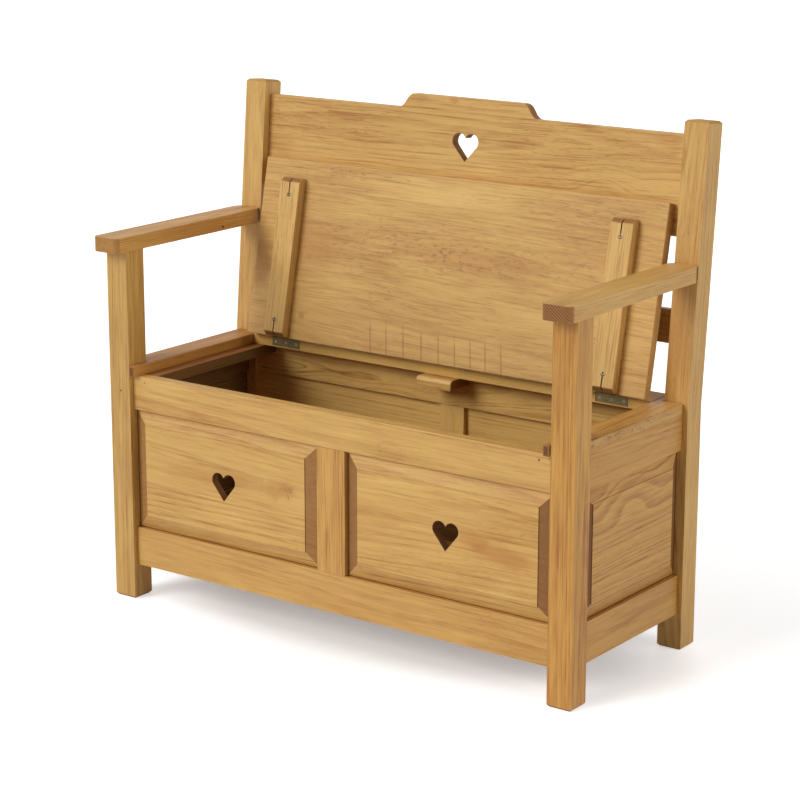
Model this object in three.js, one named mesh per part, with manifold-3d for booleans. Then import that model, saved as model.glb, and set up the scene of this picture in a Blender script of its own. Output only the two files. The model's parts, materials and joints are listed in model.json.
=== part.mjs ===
// Settle bench: a frame-and-panel storage box with a raked back, two arms and a hinged seat lid.
// Millimetres, +Z up. While it is drawn, x runs from the middle of the bench to its right-hand
// side, y from the front face of the front posts to the back, and z up from the floor. The whole
// bench is then moved along y, so that its origin lies under the middle of its overall box.
// The lid is drawn shut and then swung open about the hinge pins, until it leans on the crest.

import * as THREE from "three";
import { mergeVertices } from "three/addons/utils/BufferGeometryUtils.js";
import Module from "manifold-3d";

const wasm = await Module();
wasm.setup();

// Overall sizes
const benchWidth = 1040;
const benchDepth = 421;
const seatHeight = 463;
const groundGap = 68;
const kneeRise = 7;
const rakedLength = 512;
const backRake = THREE.MathUtils.degToRad(4.94);

// Timber sections
const postWidth = 49;
const postDepth = 48;
const postChamfer = 4;
const railThickness = 22;
const bottomRailHeight = 75;
const topRailHeight = 66;
const frameInset = 10;
const frontMuntinWidth = 63;
const backMuntinWidth = 54;

// Panels and their grooves
const panelThickness = 16;
const bevelWidth = 27.5;
const bevelDepth = 10;
const panelTongue = 8;
const grooveDepth = 9;
const backPanelThickness = 6;
const backPanelRecess = 10;

// Mortise and tenon joints
const tenonLength = 18;
const tenonThickness = 8;
const tenonShoulder = 10;
const armTenonWidth = 24;
const armTenonHeight = 20;

// Heart cut-outs
const panelHeartWidth = 55;
const panelHeartHeight = 53;
const crestHeartWidth = 57.5;
const crestHeartHeight = 53;
const lobeRadiusShare = 0.26;

// Raked back: heights run up the slope, from the knee of the posts or down from their tops
const crestSetback = 16;
const crestThickness = 20;
const crestDrop = 27;
const crestHeight = 181;
const crestRise = 27.5;
const crestRiseTop = 120.5;
const crestShoulder = 39;
const crestHeartUp = 116;
const shoulderPullShare = 0.55;
const midRailLow = 113;
const midRailHeight = 61;

// Arms
const armRise = 219;
const armThickness = 28;
const armWidth = 60;
const armOverhang = 31.5;
const armFrontRadius = 12;
const armRearRadius = 22;

// Seat: two side strips, the hinge strip behind and the lid between them
const seatThickness = 20;
const stripInset = 9;
const stripTongue = 14;
const stripProud = 3;
const stripNotchGap = 1.5;
const hingeStripDepth = 68;
const hingeStripInset = 1;
const bearerWidth = 40;
const bearerHeight = 21;
const bearerGap = 1;
const blockWidth = 80;
const blockDepth = 63;
const blockHeight = 20;
const blockEdgeRadius = 9;
const lidSideGap = 1.5;
const lidInset = 2.1;

// Battens across the underside of the lid
const battenWidth = 47;
const battenThickness = 20;
const battenSideInset = 56;
const battenFrontInset = 35.5;
const battenRearInset = 2;
const battenChamfer = 8.5;
const battenScrewInset = 33;
const battenKerf = 1.8;
const battenKerfDepth = 7;

// Bottom of the box
const cleatWidth = 20;
const cleatHeight = 20;
const cleatLift = 6;
const bottomThickness = 12;
const bottomGap = 0.5;

// Butt hinges
const hingeInset = 49;
const hingeLength = 66;
const leafThickness = 1.5;
const leafGap = 0.6;
const leafEdgeGap = 3;
const leafEndGap = 1.2;
const knuckleRadius = 2.5;
const knuckleBore = 1.6;
const knuckleGap = 0.4;
const knuckleCount = 5;
const pinRadius = 1.25;
const pinSpare = 0.6;
const leafScrewSpread = 25.5;

// Countersunk cross-head screws
const leafScrew = { head: 3.4, headDepth: 1.5, shank: 1.4, length: 14, recess: 1 };
const battenScrew = { head: 4.5, headDepth: 2.6, shank: 2, length: 34, recess: 1.6 };
const armScrew = { head: 4.5, headDepth: 2.6, shank: 2.2, length: 72, recess: 1.6 };
const screwTipShare = 2;
const recessArmShare = 0.72;
const recessSlotShare = 0.22;

// Clearance left between a piece and the hole, groove or notch that it sits in
const fit = 0.3;
// How far a cutting shape runs past the face that it opens
const overrun = 3;

// Fineness of round shapes
const arcSteps = 10;
const roundSides = 12;

// Places that follow from the sizes above
const halfWidth = benchWidth / 2;
const postInner = halfWidth - postWidth;
const postCentre = halfWidth - postWidth / 2;
const rearPostFront = benchDepth - postDepth;
const railTop = seatHeight - seatThickness;
const kneeHeight = railTop + kneeRise;
const armUnderside = seatHeight + armRise;
const topRailLow = railTop - topRailHeight;
const bottomRailTop = groundGap + bottomRailHeight;
const frontFace = frameInset;
const frontInner = frameInset + railThickness;
const backOuter = benchDepth - frameInset;
const backInner = backOuter - railThickness;
const sideOuter = halfWidth - frameInset;
const sideInner = sideOuter - railThickness;
const stripInner = postInner - stripTongue;
const hingeStripRear = benchDepth - hingeStripInset;
const hingeStripFront = hingeStripRear - hingeStripDepth;
const openingHeight = topRailLow - bottomRailTop;
const openingMiddle = (topRailLow + bottomRailTop) / 2;
const bottomBoardLow = groundGap + cleatLift + cleatHeight;

// Hinge axis, and the lid as it lies shut
const pinY = hingeStripFront - leafGap / 2;
const pinZ = seatHeight + knuckleRadius + fit;
const lidRear = pinY - leafGap / 2;
const lidFront = lidInset;
const lidUnder = railTop + fit;
const lidTop = lidUnder + seatThickness;
const lidHalf = stripInner - lidSideGap;
const battenUnder = lidUnder - battenThickness;
const battenFront = lidFront + battenFrontInset;
const battenRear = lidRear - battenRearInset;
const battenCentre = lidHalf - battenSideInset - battenWidth / 2;
const hingeCentre = stripInner - hingeInset - hingeLength / 2;

// The crest between the posts, up the slope
const crestLow = rakedLength - crestDrop - crestHeight;
const crestRiseFoot = crestRiseTop + crestShoulder;

// Depth of the raked part of a post, square to its slope, and how far back the post tops reach
const rakedDepth = postDepth * Math.cos(backRake);
const rearReach = rearPostFront + (rakedLength - postChamfer) * Math.sin(backRake)
  + rakedDepth * Math.cos(backRake);

const sides = [
  { name: "left", way: -1 },
  { name: "right", way: 1 },
];

// Finishes
const pine = { color: "#c89c5c", roughness: 0.5, metalness: 0 };
const palePine = { color: "#cda76a", roughness: 0.6, metalness: 0 };
const bronzedSteel = { color: "#6f6a4c", roughness: 0.45, metalness: 0.8 };
const brightSteel = { color: "#b8b2a0", roughness: 0.35, metalness: 0.9 };

// Solids and geometries

function toSolid(geometry) {
  const bare = geometry.clone();
  bare.deleteAttribute("normal");
  bare.deleteAttribute("uv");
  const merged = mergeVertices(bare);
  return new wasm.Manifold(new wasm.Mesh({
    numProp: 3,
    vertProperties: new Float32Array(merged.attributes.position.array),
    triVerts: new Uint32Array(merged.index.array),
  }));
}

function toGeometry(solid) {
  const mesh = solid.getMesh();
  const geometry = new THREE.BufferGeometry();
  geometry.setAttribute("position", new THREE.BufferAttribute(mesh.vertProperties, 3));
  geometry.setIndex(new THREE.BufferAttribute(mesh.triVerts, 1));
  geometry.computeVertexNormals();
  return geometry;
}

function moved(solid, matrix) {
  return toSolid(toGeometry(solid).applyMatrix4(matrix));
}

function piece(group, name, solid, finish) {
  const mesh = new THREE.Mesh(toGeometry(solid), new THREE.MeshStandardMaterial(finish));
  mesh.name = name;
  group.add(mesh);
  return mesh;
}

function box(x0, x1, y0, y1, z0, z1) {
  const geometry = new THREE.BoxGeometry(Math.abs(x1 - x0), Math.abs(y1 - y0), Math.abs(z1 - z0));
  geometry.translate((x0 + x1) / 2, (y0 + y1) / 2, (z0 + z1) / 2);
  return toSolid(geometry);
}

function outline(points) {
  return new THREE.Shape(points.map(([u, v]) => new THREE.Vector2(u, v)));
}

// A prism along an axis: its outline is (y, z) along x, (x, z) along y and (x, y) along z.
function prism(axis, shape, low, high) {
  const X = new THREE.Vector3(1, 0, 0);
  const Y = new THREE.Vector3(0, 1, 0);
  const Z = new THREE.Vector3(0, 0, 1);
  const frames = { x: [Y, Z, X], y: [X, Z, Y.clone().negate()], z: [X, Y, Z] };
  const geometry = new THREE.ExtrudeGeometry(shape, {
    depth: high - low,
    bevelEnabled: false,
    curveSegments: arcSteps,
  });
  geometry.translate(0, 0, axis === "y" ? -high : low);
  geometry.applyMatrix4(new THREE.Matrix4().makeBasis(...frames[axis]));
  return toSolid(geometry);
}

// Joints between timbers

// A tenon points along `way` from a shoulder at `at`; grown by `play` it is its own mortise.
function tenon(axis, way, at, middle, low, high, play) {
  const root = at - way * overrun;
  const tip = at + way * (tenonLength + play);
  const half = tenonThickness / 2 + play;
  const bottom = low + tenonShoulder - play;
  const top = high - tenonShoulder + play;
  if (axis === "x") {
    return box(root, tip, middle - half, middle + half, bottom, top);
  }
  return box(middle - half, middle + half, root, tip, bottom, top);
}

// The groove across a frame's thickness, for a panel edge that starts at a depth behind its face.
function grooveRange(face, depth, thickness) {
  return [face + depth - fit, face + depth + thickness + fit];
}

const frontGroove = grooveRange(frontFace, bevelDepth, panelThickness - bevelDepth);
const backGroove = grooveRange(backInner, backPanelRecess, backPanelThickness);
const sideGroove = grooveRange(-sideOuter, bevelDepth, panelThickness - bevelDepth);

// How far up and down the grooves of an opening run
const grooveLow = bottomRailTop - grooveDepth;
const grooveHigh = topRailLow + grooveDepth;

const frontRow = { face: frontFace, groove: frontGroove, muntin: frontMuntinWidth };
const backRow = { face: backInner, groove: backGroove, muntin: backMuntinWidth };
const levels = [
  { low: groundGap, high: bottomRailTop },
  { low: topRailLow, high: railTop },
];

// Cuts in a post for the front or back frame: mortises for its rails, a groove for its panel.
function frameCutsX(row, way) {
  const middle = row.face + railThickness / 2;
  const inner = way * (postInner - overrun);
  const deep = way * (postInner + grooveDepth);
  const groove = box(inner, deep, ...row.groove, grooveLow, grooveHigh);
  return levels.reduce(
    (sum, { low, high }) => sum.add(tenon("x", way, way * postInner, middle, low, high, fit)),
    groove,
  );
}

// Cuts in a post for the frame between the front and the rear post of one side.
function frameCutsY(way, face, into) {
  const middle = way * (sideOuter - railThickness / 2);
  const near = face - into * overrun;
  const deep = face + into * grooveDepth;
  const groove = box(...sideGroove.map((x) => -way * x), near, deep, grooveLow, grooveHigh);
  return levels.reduce(
    (sum, { low, high }) => sum.add(tenon("y", into, face, middle, low, high, fit)),
    groove,
  );
}

// Four wedges that chamfer the bottom edges of a foot.
function footChamfer(x0, x1, y0, y1) {
  const c = postChamfer;
  const o = overrun;
  const wedge = (edge, way) => outline([
    [edge + way * o, -o],
    [edge - way * (c + o), -o],
    [edge + way * o, c + o],
  ]);
  return prism("x", wedge(y0, -1), x0 - o, x1 + o)
    .add(prism("x", wedge(y1, 1), x0 - o, x1 + o))
    .add(prism("y", wedge(x0, -1), y0 - o, y1 + o))
    .add(prism("y", wedge(x1, 1), y0 - o, y1 + o));
}

// Posts

function postSpan(way) {
  return way < 0 ? [-halfWidth, -postInner] : [postInner, halfWidth];
}

function armTenon(way, play) {
  const half = armTenonWidth / 2 + play;
  const middleY = postDepth / 2;
  return box(way * postCentre - half, way * postCentre + half, middleY - half, middleY + half,
    armUnderside - overrun, armUnderside + armTenonHeight + play);
}

function frontPost(way) {
  const [x0, x1] = postSpan(way);
  return box(x0, x1, 0, postDepth, 0, armUnderside)
    .add(armTenon(way, 0))
    .subtract(footChamfer(x0, x1, 0, postDepth))
    .subtract(frameCutsX(frontRow, way))
    .subtract(frameCutsY(way, postDepth, -1));
}

// Places on the raked back: its own y runs from the posts' front face, its z up the slope.
const backPlace = new THREE.Matrix4()
  .makeRotationX(-backRake)
  .setPosition(0, rearPostFront, kneeHeight);

function rearPostProfile() {
  const up = new THREE.Vector2(Math.sin(backRake), Math.cos(backRake));
  const back = new THREE.Vector2(Math.cos(backRake), -Math.sin(backRake));
  const at = (depth, height) => [
    rearPostFront + depth * back.x + height * up.x,
    kneeHeight + depth * back.y + height * up.y,
  ];
  return outline([
    [rearPostFront, 0],
    [benchDepth, 0],
    [benchDepth, kneeHeight],
    at(rakedDepth, rakedLength - postChamfer),
    at(rakedDepth - postChamfer, rakedLength),
    at(postChamfer, rakedLength),
    at(0, rakedLength - postChamfer),
    [rearPostFront, kneeHeight],
  ]);
}

// Two wedges along the depth of the post's top, on the raked back.
function postTopChamfer(x0, x1) {
  const c = postChamfer;
  const o = overrun;
  const top = rakedLength;
  const wedge = (edge, way) => outline([
    [edge + way * o, top - c - o],
    [edge + way * o, top + o],
    [edge - way * (c + o), top + o],
  ]);
  return prism("y", wedge(x0, -1), -o, rakedDepth + o)
    .add(prism("y", wedge(x1, 1), -o, rakedDepth + o));
}

function rearPost(way) {
  const [x0, x1] = postSpan(way);
  const rakedCuts = postTopChamfer(x0, x1)
    .add(backTenon(way, crestLow, crestLow + crestHeight, fit))
    .add(backTenon(way, midRailLow, midRailLow + midRailHeight, fit))
    .add(screwSolid(armScrew, fit, armScrewPlace(way)));
  return prism("x", rearPostProfile(), x0, x1)
    .subtract(footChamfer(x0, x1, rearPostFront, benchDepth))
    .subtract(frameCutsX(backRow, way))
    .subtract(frameCutsY(way, rearPostFront, 1))
    .subtract(moved(rakedCuts, backPlace));
}

// Rails, muntins and panels of the box

// Heights of the groove in a rail's edge that faces the opening between the two levels.
function edgeGroove(level) {
  return level === levels[0]
    ? [level.high + overrun, level.high - grooveDepth]
    : [level.low - overrun, level.low + grooveDepth];
}

function longRail(row, level) {
  const rear = row.face + railThickness;
  const middle = row.face + railThickness / 2;
  const end = postInner + overrun;
  const body = box(-postInner, postInner, row.face, rear, level.low, level.high)
    .subtract(box(-end, end, ...row.groove, ...edgeGroove(level)));
  return sides.reduce(
    (sum, { way }) => sum.add(tenon("x", way, way * postInner, middle, level.low, level.high, 0)),
    body,
  );
}

function sideRail(way, level) {
  const middle = way * (sideOuter - railThickness / 2);
  const faces = [way * sideInner, way * sideOuter];
  const groove = sideGroove.map((x) => -way * x);
  return box(...faces, postDepth, rearPostFront, level.low, level.high)
    .subtract(box(...groove, postDepth - overrun, rearPostFront + overrun, ...edgeGroove(level)))
    .add(tenon("y", -1, postDepth, middle, level.low, level.high, 0))
    .add(tenon("y", 1, rearPostFront, middle, level.low, level.high, 0));
}

// The muntin's ends are tongues that fill the rails' grooves between the panels.
function muntin(row) {
  const half = row.muntin / 2;
  const tongue = [row.groove[0] + fit, row.groove[1] - fit];
  const body = box(-half, half, row.face, row.face + railThickness, bottomRailTop, topRailLow)
    .add(box(-half, half, ...tongue, bottomRailTop - panelTongue, topRailLow + panelTongue));
  return sides.reduce((sum, { way }) => {
    const edges = [way * (half + overrun), way * (half - grooveDepth)];
    return sum.subtract(box(...edges, ...row.groove, grooveLow, grooveHigh));
  }, body);
}

// A heart of two round lobes and two straight sides that meet them at a tangent.
function heart(width, height, middleX, middleZ) {
  const r = width * lobeRadiusShare;
  const a = width / 2 - r;
  const lobeZ = middleZ + height / 2 - r;
  const tipZ = middleZ - height / 2;
  const reach = Math.hypot(a, lobeZ - tipZ);
  const touch = Math.atan2(lobeZ - tipZ, a) - Math.asin(r / reach) - Math.PI / 2;
  const notch = Math.acos(a / r);
  const shape = new THREE.Shape();
  shape.absarc(middleX + a, lobeZ, r, touch, Math.PI - notch, false);
  shape.absarc(middleX - a, lobeZ, r, notch, Math.PI - touch, false);
  shape.lineTo(middleX, tipZ);
  shape.closePath();
  return shape;
}

// What is planed off one edge of a raised panel, as points of distance from the middle and depth.
function bevelCut(edge, way) {
  const shoulder = edge - way * panelTongue;
  const crown = shoulder - way * bevelWidth;
  return [
    [edge + way * overrun, bevelDepth],
    [shoulder, bevelDepth],
    [crown, 0],
    [crown, -overrun],
    [edge + way * overrun, -overrun],
  ];
}

// A raised panel about its own middle, with its face at y = 0 and its edges thinned to tongues.
function raisedPanel(width) {
  const x = width / 2 + panelTongue;
  const z = openingHeight / 2 + panelTongue;
  let panel = box(-x, x, 0, panelThickness, -z, z);
  for (const { way } of sides) {
    const endCut = outline(bevelCut(way * x, way));
    const edgeCut = outline(bevelCut(way * z, way).map(([along, depth]) => [depth, along]));
    panel = panel
      .subtract(prism("z", endCut, -z - overrun, z + overrun))
      .subtract(prism("x", edgeCut, -x - overrun, x + overrun));
  }
  return panel;
}

function addFrontPanel(group, { name, way }) {
  const shape = heart(panelHeartWidth, panelHeartHeight, 0, 0);
  const hole = prism("y", shape, -overrun, panelThickness + overrun);
  const solid = raisedPanel(postInner - frontMuntinWidth / 2).subtract(hole);
  const mesh = piece(group, `front_panel_${name}`, solid, pine);
  mesh.position.set(way * (postInner + frontMuntinWidth / 2) / 2, frontFace, openingMiddle);
}

function addSidePanel(group, { name, way }) {
  const solid = raisedPanel(rearPostFront - postDepth);
  const mesh = piece(group, `side_panel_${name}`, solid, pine);
  mesh.rotation.z = way * Math.PI / 2;
  mesh.position.set(way * sideOuter, (postDepth + rearPostFront) / 2, openingMiddle);
}

function addBackPanel(group, { name, way }) {
  const inner = way * (backMuntinWidth / 2 - panelTongue);
  const outer = way * (postInner + panelTongue);
  const faces = [backGroove[0] + fit, backGroove[1] - fit];
  const edges = [bottomRailTop - panelTongue, topRailLow + panelTongue];
  piece(group, `back_panel_${name}`, box(inner, outer, ...faces, ...edges), palePine);
}

function addLongFrame(group, row, place) {
  piece(group, `${place}_bottom_rail`, longRail(row, levels[0]), pine);
  piece(group, `${place}_top_rail`, longRail(row, levels[1]), pine);
  piece(group, `${place}_muntin`, muntin(row), pine);
}

function addSideFrame(group, side) {
  piece(group, `side_bottom_rail_${side.name}`, sideRail(side.way, levels[0]), pine);
  piece(group, `side_top_rail_${side.name}`, sideRail(side.way, levels[1]), pine);
  addSidePanel(group, side);
}

// Crest and middle rail, drawn on the raked back, with a hair's gap to the posts

const backRailEnd = postInner - fit;

function crestOutline() {
  const low = crestLow;
  const end = crestLow + crestHeight;
  const top = end + crestRise;
  const pull = crestShoulder * shoulderPullShare;
  const shape = new THREE.Shape();
  shape.moveTo(-backRailEnd, low);
  shape.lineTo(backRailEnd, low);
  shape.lineTo(backRailEnd, end);
  shape.lineTo(crestRiseFoot, end);
  shape.bezierCurveTo(crestRiseFoot - pull, end, crestRiseTop + pull, top, crestRiseTop, top);
  shape.lineTo(-crestRiseTop, top);
  shape.bezierCurveTo(-crestRiseTop - pull, top, -crestRiseFoot + pull, end, -crestRiseFoot, end);
  shape.lineTo(-backRailEnd, end);
  shape.closePath();
  return shape;
}

// A tenon of the crest or the middle rail; grown by `play` it is the mortise in the post.
function backTenon(way, low, high, play) {
  const middle = crestSetback + crestThickness / 2;
  return tenon("x", way, way * backRailEnd, middle, low, high, play);
}

function crestRail() {
  const rear = crestSetback + crestThickness;
  const hole = heart(crestHeartWidth, crestHeartHeight, 0, crestLow + crestHeartUp);
  return prism("y", crestOutline(), crestSetback, rear)
    .subtract(prism("y", hole, crestSetback - overrun, rear + overrun))
    .add(backTenon(-1, crestLow, crestLow + crestHeight, 0))
    .add(backTenon(1, crestLow, crestLow + crestHeight, 0));
}

function midRail() {
  const high = midRailLow + midRailHeight;
  const rear = crestSetback + crestThickness;
  return box(-backRailEnd, backRailEnd, crestSetback, rear, midRailLow, high)
    .add(backTenon(-1, midRailLow, high, 0))
    .add(backTenon(1, midRailLow, high, 0));
}

// Arms

function armOutline(way) {
  const middle = way * postCentre;
  const half = armWidth / 2;
  const rear = rearPostFront + (armUnderside + armThickness - kneeHeight) * Math.tan(backRake);
  const front = -armOverhang;
  const f = armFrontRadius;
  const r = armRearRadius;
  const shape = new THREE.Shape();
  shape.absarc(middle + half - f, front + f, f, -Math.PI / 2, 0, false);
  shape.absarc(middle + half - r, rear - r, r, 0, Math.PI / 2, false);
  shape.absarc(middle - half + r, rear - r, r, Math.PI / 2, Math.PI, false);
  shape.absarc(middle - half + f, front + f, f, Math.PI, 1.5 * Math.PI, false);
  shape.closePath();
  return shape;
}

// The arm's end is cut to the slope of the rear post, and a screw comes into it from behind.
function arm(way) {
  const behind = box(-halfWidth - armWidth, halfWidth + armWidth, -fit, rakedDepth, 0, rakedLength);
  return prism("z", armOutline(way), armUnderside, armUnderside + armThickness)
    .subtract(armTenon(way, fit))
    .subtract(moved(behind, backPlace))
    .subtract(moved(screwSolid(armScrew, fit, armScrewPlace(way)), backPlace));
}

function armScrewPlace(way) {
  const up = (armUnderside + armThickness / 2 - kneeHeight) / Math.cos(backRake);
  return new THREE.Matrix4().makeTranslation(way * postCentre, rakedDepth, up);
}

// Screws: the head faces +Y and the shank runs towards -Y from the origin.

// From the tip to the top: a hole, which has play, goes on above the head to open the face.
function screwProfile(spec, play) {
  const taper = spec.length - screwTipShare * spec.shank;
  const top = play > 0 ? [[spec.head + play, overrun], [0, overrun]] : [[0, 0]];
  return [
    [0, -spec.length - play],
    [spec.shank + play, -taper],
    [spec.shank + play, -spec.headDepth],
    [spec.head + play, 0],
    ...top,
  ];
}

function screwSolid(spec, play, place) {
  const points = screwProfile(spec, play).map(([radius, y]) => new THREE.Vector2(radius, y));
  const solid = toSolid(new THREE.LatheGeometry(points, roundSides));
  return place ? moved(solid, place) : solid;
}

function withScrewHoles(solid, spec, places) {
  return places.reduce((sum, { place }) => sum.subtract(screwSolid(spec, fit, place)), solid);
}

function crossRecess(spec) {
  const reach = spec.head * recessArmShare;
  const slot = spec.head * recessSlotShare / 2;
  return box(-reach, reach, -spec.recess, overrun, -slot, slot)
    .add(box(-slot, slot, -spec.recess, overrun, -reach, reach));
}

function addScrew(group, name, spec, place) {
  const mesh = piece(group, name, screwSolid(spec, 0).subtract(crossRecess(spec)), brightSteel);
  mesh.applyMatrix4(place);
}

// Seat strips, bearers and the rest block

function sideStrip(way) {
  const outer = halfWidth - stripInset;
  const beside = postInner - stripNotchGap;
  const points = [
    [stripInner, -stripProud],
    [beside, -stripProud],
    [beside, postDepth + stripNotchGap],
    [outer, postDepth + stripNotchGap],
    [outer, rearPostFront - stripNotchGap],
    [beside, rearPostFront - stripNotchGap],
    [beside, hingeStripRear],
    [stripInner, hingeStripRear],
  ];
  return prism("z", outline(points.map(([x, y]) => [way * x, y])), railTop, seatHeight);
}

function hingeStrip() {
  const half = stripInner - fit;
  const blank = box(-half, half, hingeStripFront, hingeStripRear, railTop, seatHeight);
  return withScrewHoles(withLeafMortises(blank, 1), leafScrew, screwPlaces(1));
}

// A bearer under each side strip, fixed to the posts' inner faces.
function bearer(way) {
  const outer = postInner - bearerGap;
  const faces = [way * (outer - bearerWidth), way * outer];
  return box(...faces, frontInner, backInner, railTop - bearerHeight, railTop);
}

// The block that carries the lid's rear edge in the middle, with its upper front edge rounded.
function restBlock() {
  const half = blockWidth / 2;
  const front = backInner - blockDepth;
  const low = railTop - blockHeight;
  const r = blockEdgeRadius;
  const shape = new THREE.Shape();
  shape.moveTo(backInner, low);
  shape.lineTo(backInner, railTop);
  shape.absarc(front + r, railTop - r, r, Math.PI / 2, Math.PI, false);
  shape.lineTo(front, low);
  shape.closePath();
  return prism("x", shape, -half, half);
}

function addSeat(group) {
  for (const { name, way } of sides) {
    piece(group, `seat_strip_${name}`, sideStrip(way), pine);
    piece(group, `seat_bearer_${name}`, bearer(way), pine);
  }
  piece(group, "hinge_strip", hingeStrip(), pine);
  piece(group, "lid_rest_block", restBlock(), pine);
}

// Bottom of the box

// The board fills the inside of the frame, with its corners cut away round the posts.
function bottomBoard() {
  const side = sideInner - bottomGap;
  const front = frontInner + bottomGap;
  const rear = backInner - bottomGap;
  const neck = postInner - bottomGap;
  const quarter = [
    [side, rearPostFront - bottomGap],
    [neck, rearPostFront - bottomGap],
    [neck, rear],
  ];
  const frontQuarter = [
    [neck, front],
    [neck, postDepth + bottomGap],
    [side, postDepth + bottomGap],
  ];
  const right = [...frontQuarter, ...quarter];
  const left = right.map(([x, y]) => [-x, y]).reverse();
  return prism("z", outline([...right, ...left]), bottomBoardLow, bottomBoardLow + bottomThickness);
}

function cleat(y0, y1) {
  const half = postInner - bottomGap;
  return box(-half, half, y0, y1, bottomBoardLow - cleatHeight, bottomBoardLow);
}

function addBottom(group) {
  const front = cleat(frontInner, frontInner + cleatWidth);
  const back = cleat(backInner - cleatWidth, backInner);
  piece(group, "bottom_cleat_front", front, pine);
  piece(group, "bottom_cleat_back", back, pine);
  piece(group, "bottom_board", bottomBoard(), palePine);
}

// Hinges, drawn about their pin with both leaves hanging down as they lie when the lid is shut

const leafDrop = pinZ - railTop - leafEdgeGap;
const knuckleLength = (hingeLength - (knuckleCount - 1) * knuckleGap) / knuckleCount;

function knuckleSpan(index) {
  const start = -hingeLength / 2 + index * (knuckleLength + knuckleGap);
  return [start, start + knuckleLength];
}

function barrel(radius, [x0, x1]) {
  const geometry = new THREE.CylinderGeometry(radius, radius, x1 - x0, roundSides);
  geometry.rotateZ(Math.PI / 2);
  geometry.translate((x0 + x1) / 2, 0, 0);
  return toSolid(geometry);
}

// The fixed leaf (way 1) lies behind the pin and has both end knuckles, the lid leaf the others.
function hingeLeaf(way) {
  const half = hingeLength / 2;
  const near = way * leafGap / 2;
  const far = way * (leafGap / 2 + leafThickness);
  const own = (index) => (index % 2 === 0) === (way > 0);
  const spans = Array.from({ length: knuckleCount }, (_, index) => index);
  let leaf = box(-half, half, near, far, -leafDrop, 0);
  for (const index of spans.filter((i) => !own(i))) {
    const [x0, x1] = knuckleSpan(index);
    leaf = leaf.subtract(barrel(knuckleRadius + fit, [x0 - knuckleGap, x1 + knuckleGap]));
  }
  for (const index of spans.filter(own)) {
    leaf = leaf.add(barrel(knuckleRadius, knuckleSpan(index)));
  }
  leaf = leaf.subtract(barrel(knuckleBore, [-half - overrun, half + overrun]));
  return withScrewHoles(leaf, leafScrew, leafScrewPlaces(way));
}

const leafScrewZ = -(leafDrop + knuckleRadius) / 2;

// Where a leaf's three screws sit, seen from the pin; their heads face away from the wood.
function leafScrewPlaces(way) {
  const face = way * leafGap / 2;
  const turn = new THREE.Matrix4().makeRotationZ(way > 0 ? Math.PI : 0);
  return [-leafScrewSpread, 0, leafScrewSpread].map((x, index) => ({
    number: index + 1,
    place: new THREE.Matrix4().makeTranslation(x, face, leafScrewZ).multiply(turn),
  }));
}

function hingePlaces() {
  return sides.map(({ name, way }) => ({
    name,
    matrix: new THREE.Matrix4().makeTranslation(way * hingeCentre, pinY, pinZ),
  }));
}

// The same screws as they lie on the bench: on the fixed leaves (way 1) or the lid leaves.
function screwPlaces(way) {
  return hingePlaces().flatMap(({ name, matrix }) => leafScrewPlaces(way)
    .map(({ number, place }) => ({
      name: `${name}_${number}`,
      place: matrix.clone().multiply(place),
    })));
}

// The leaves are let in flush: each lies in a shallow mortise that is open at the top.
function withLeafMortises(solid, way) {
  const half = hingeLength / 2 + leafEndGap;
  const open = way * (leafGap / 2 - overrun);
  const deep = way * (leafGap / 2 + leafThickness + fit);
  const mortise = box(-half, half, open, deep, -leafDrop - fit, overrun);
  return hingePlaces().reduce((sum, { matrix }) => sum.subtract(moved(mortise, matrix)), solid);
}

function addLeaves(group, way, label) {
  for (const { name, matrix } of hingePlaces()) {
    const mesh = piece(group, `hinge_${label}_leaf_${name}`, hingeLeaf(way), bronzedSteel);
    mesh.applyMatrix4(matrix);
  }
  for (const { name, place } of screwPlaces(way)) {
    addScrew(group, `${label}_leaf_screw_${name}`, leafScrew, place);
  }
}

function addPins(group) {
  const half = hingeLength / 2 + pinSpare;
  for (const { name, matrix } of hingePlaces()) {
    const mesh = piece(group, `hinge_pin_${name}`, barrel(pinRadius, [-half, half]), bronzedSteel);
    mesh.applyMatrix4(matrix);
  }
}

// Lid

function battenScrewPlaces() {
  const turn = new THREE.Matrix4().makeRotationX(-Math.PI / 2);
  return sides.flatMap(({ name, way }) => [
    { name: `${name}_front`, y: battenFront + battenScrewInset },
    { name: `${name}_rear`, y: battenRear - battenScrewInset },
  ].map((spot) => ({
    name: spot.name,
    place: new THREE.Matrix4().makeTranslation(way * battenCentre, spot.y, battenUnder).multiply(turn),
  })));
}

function lidBoard() {
  const blank = box(-lidHalf, lidHalf, lidFront, lidRear, lidUnder, lidTop);
  const drilled = withScrewHoles(blank, battenScrew, battenScrewPlaces());
  return withScrewHoles(withLeafMortises(drilled, -1), leafScrew, screwPlaces(-1));
}

// A batten keeps a hair's gap to the board, because both are turned with the lid. Its ends are
// chamfered below, and a saw kerf runs from each screw out through the end.
function batten(way) {
  const middle = way * battenCentre;
  const upper = lidUnder - fit;
  const c = battenChamfer;
  const blank = prism("x", outline([
    [battenFront, upper],
    [battenFront, battenUnder + c],
    [battenFront + c, battenUnder],
    [battenRear - c, battenUnder],
    [battenRear, battenUnder + c],
    [battenRear, upper],
  ]), middle - battenWidth / 2, middle + battenWidth / 2);
  const kerf = (y0, y1) => box(middle - battenKerf / 2, middle + battenKerf / 2, y0, y1,
    battenUnder - overrun, battenUnder + battenKerfDepth);
  const cut = blank
    .subtract(kerf(battenFront - overrun, battenFront + battenScrewInset))
    .subtract(kerf(battenRear - battenScrewInset, battenRear + overrun));
  return withScrewHoles(cut, battenScrew, battenScrewPlaces());
}

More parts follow.
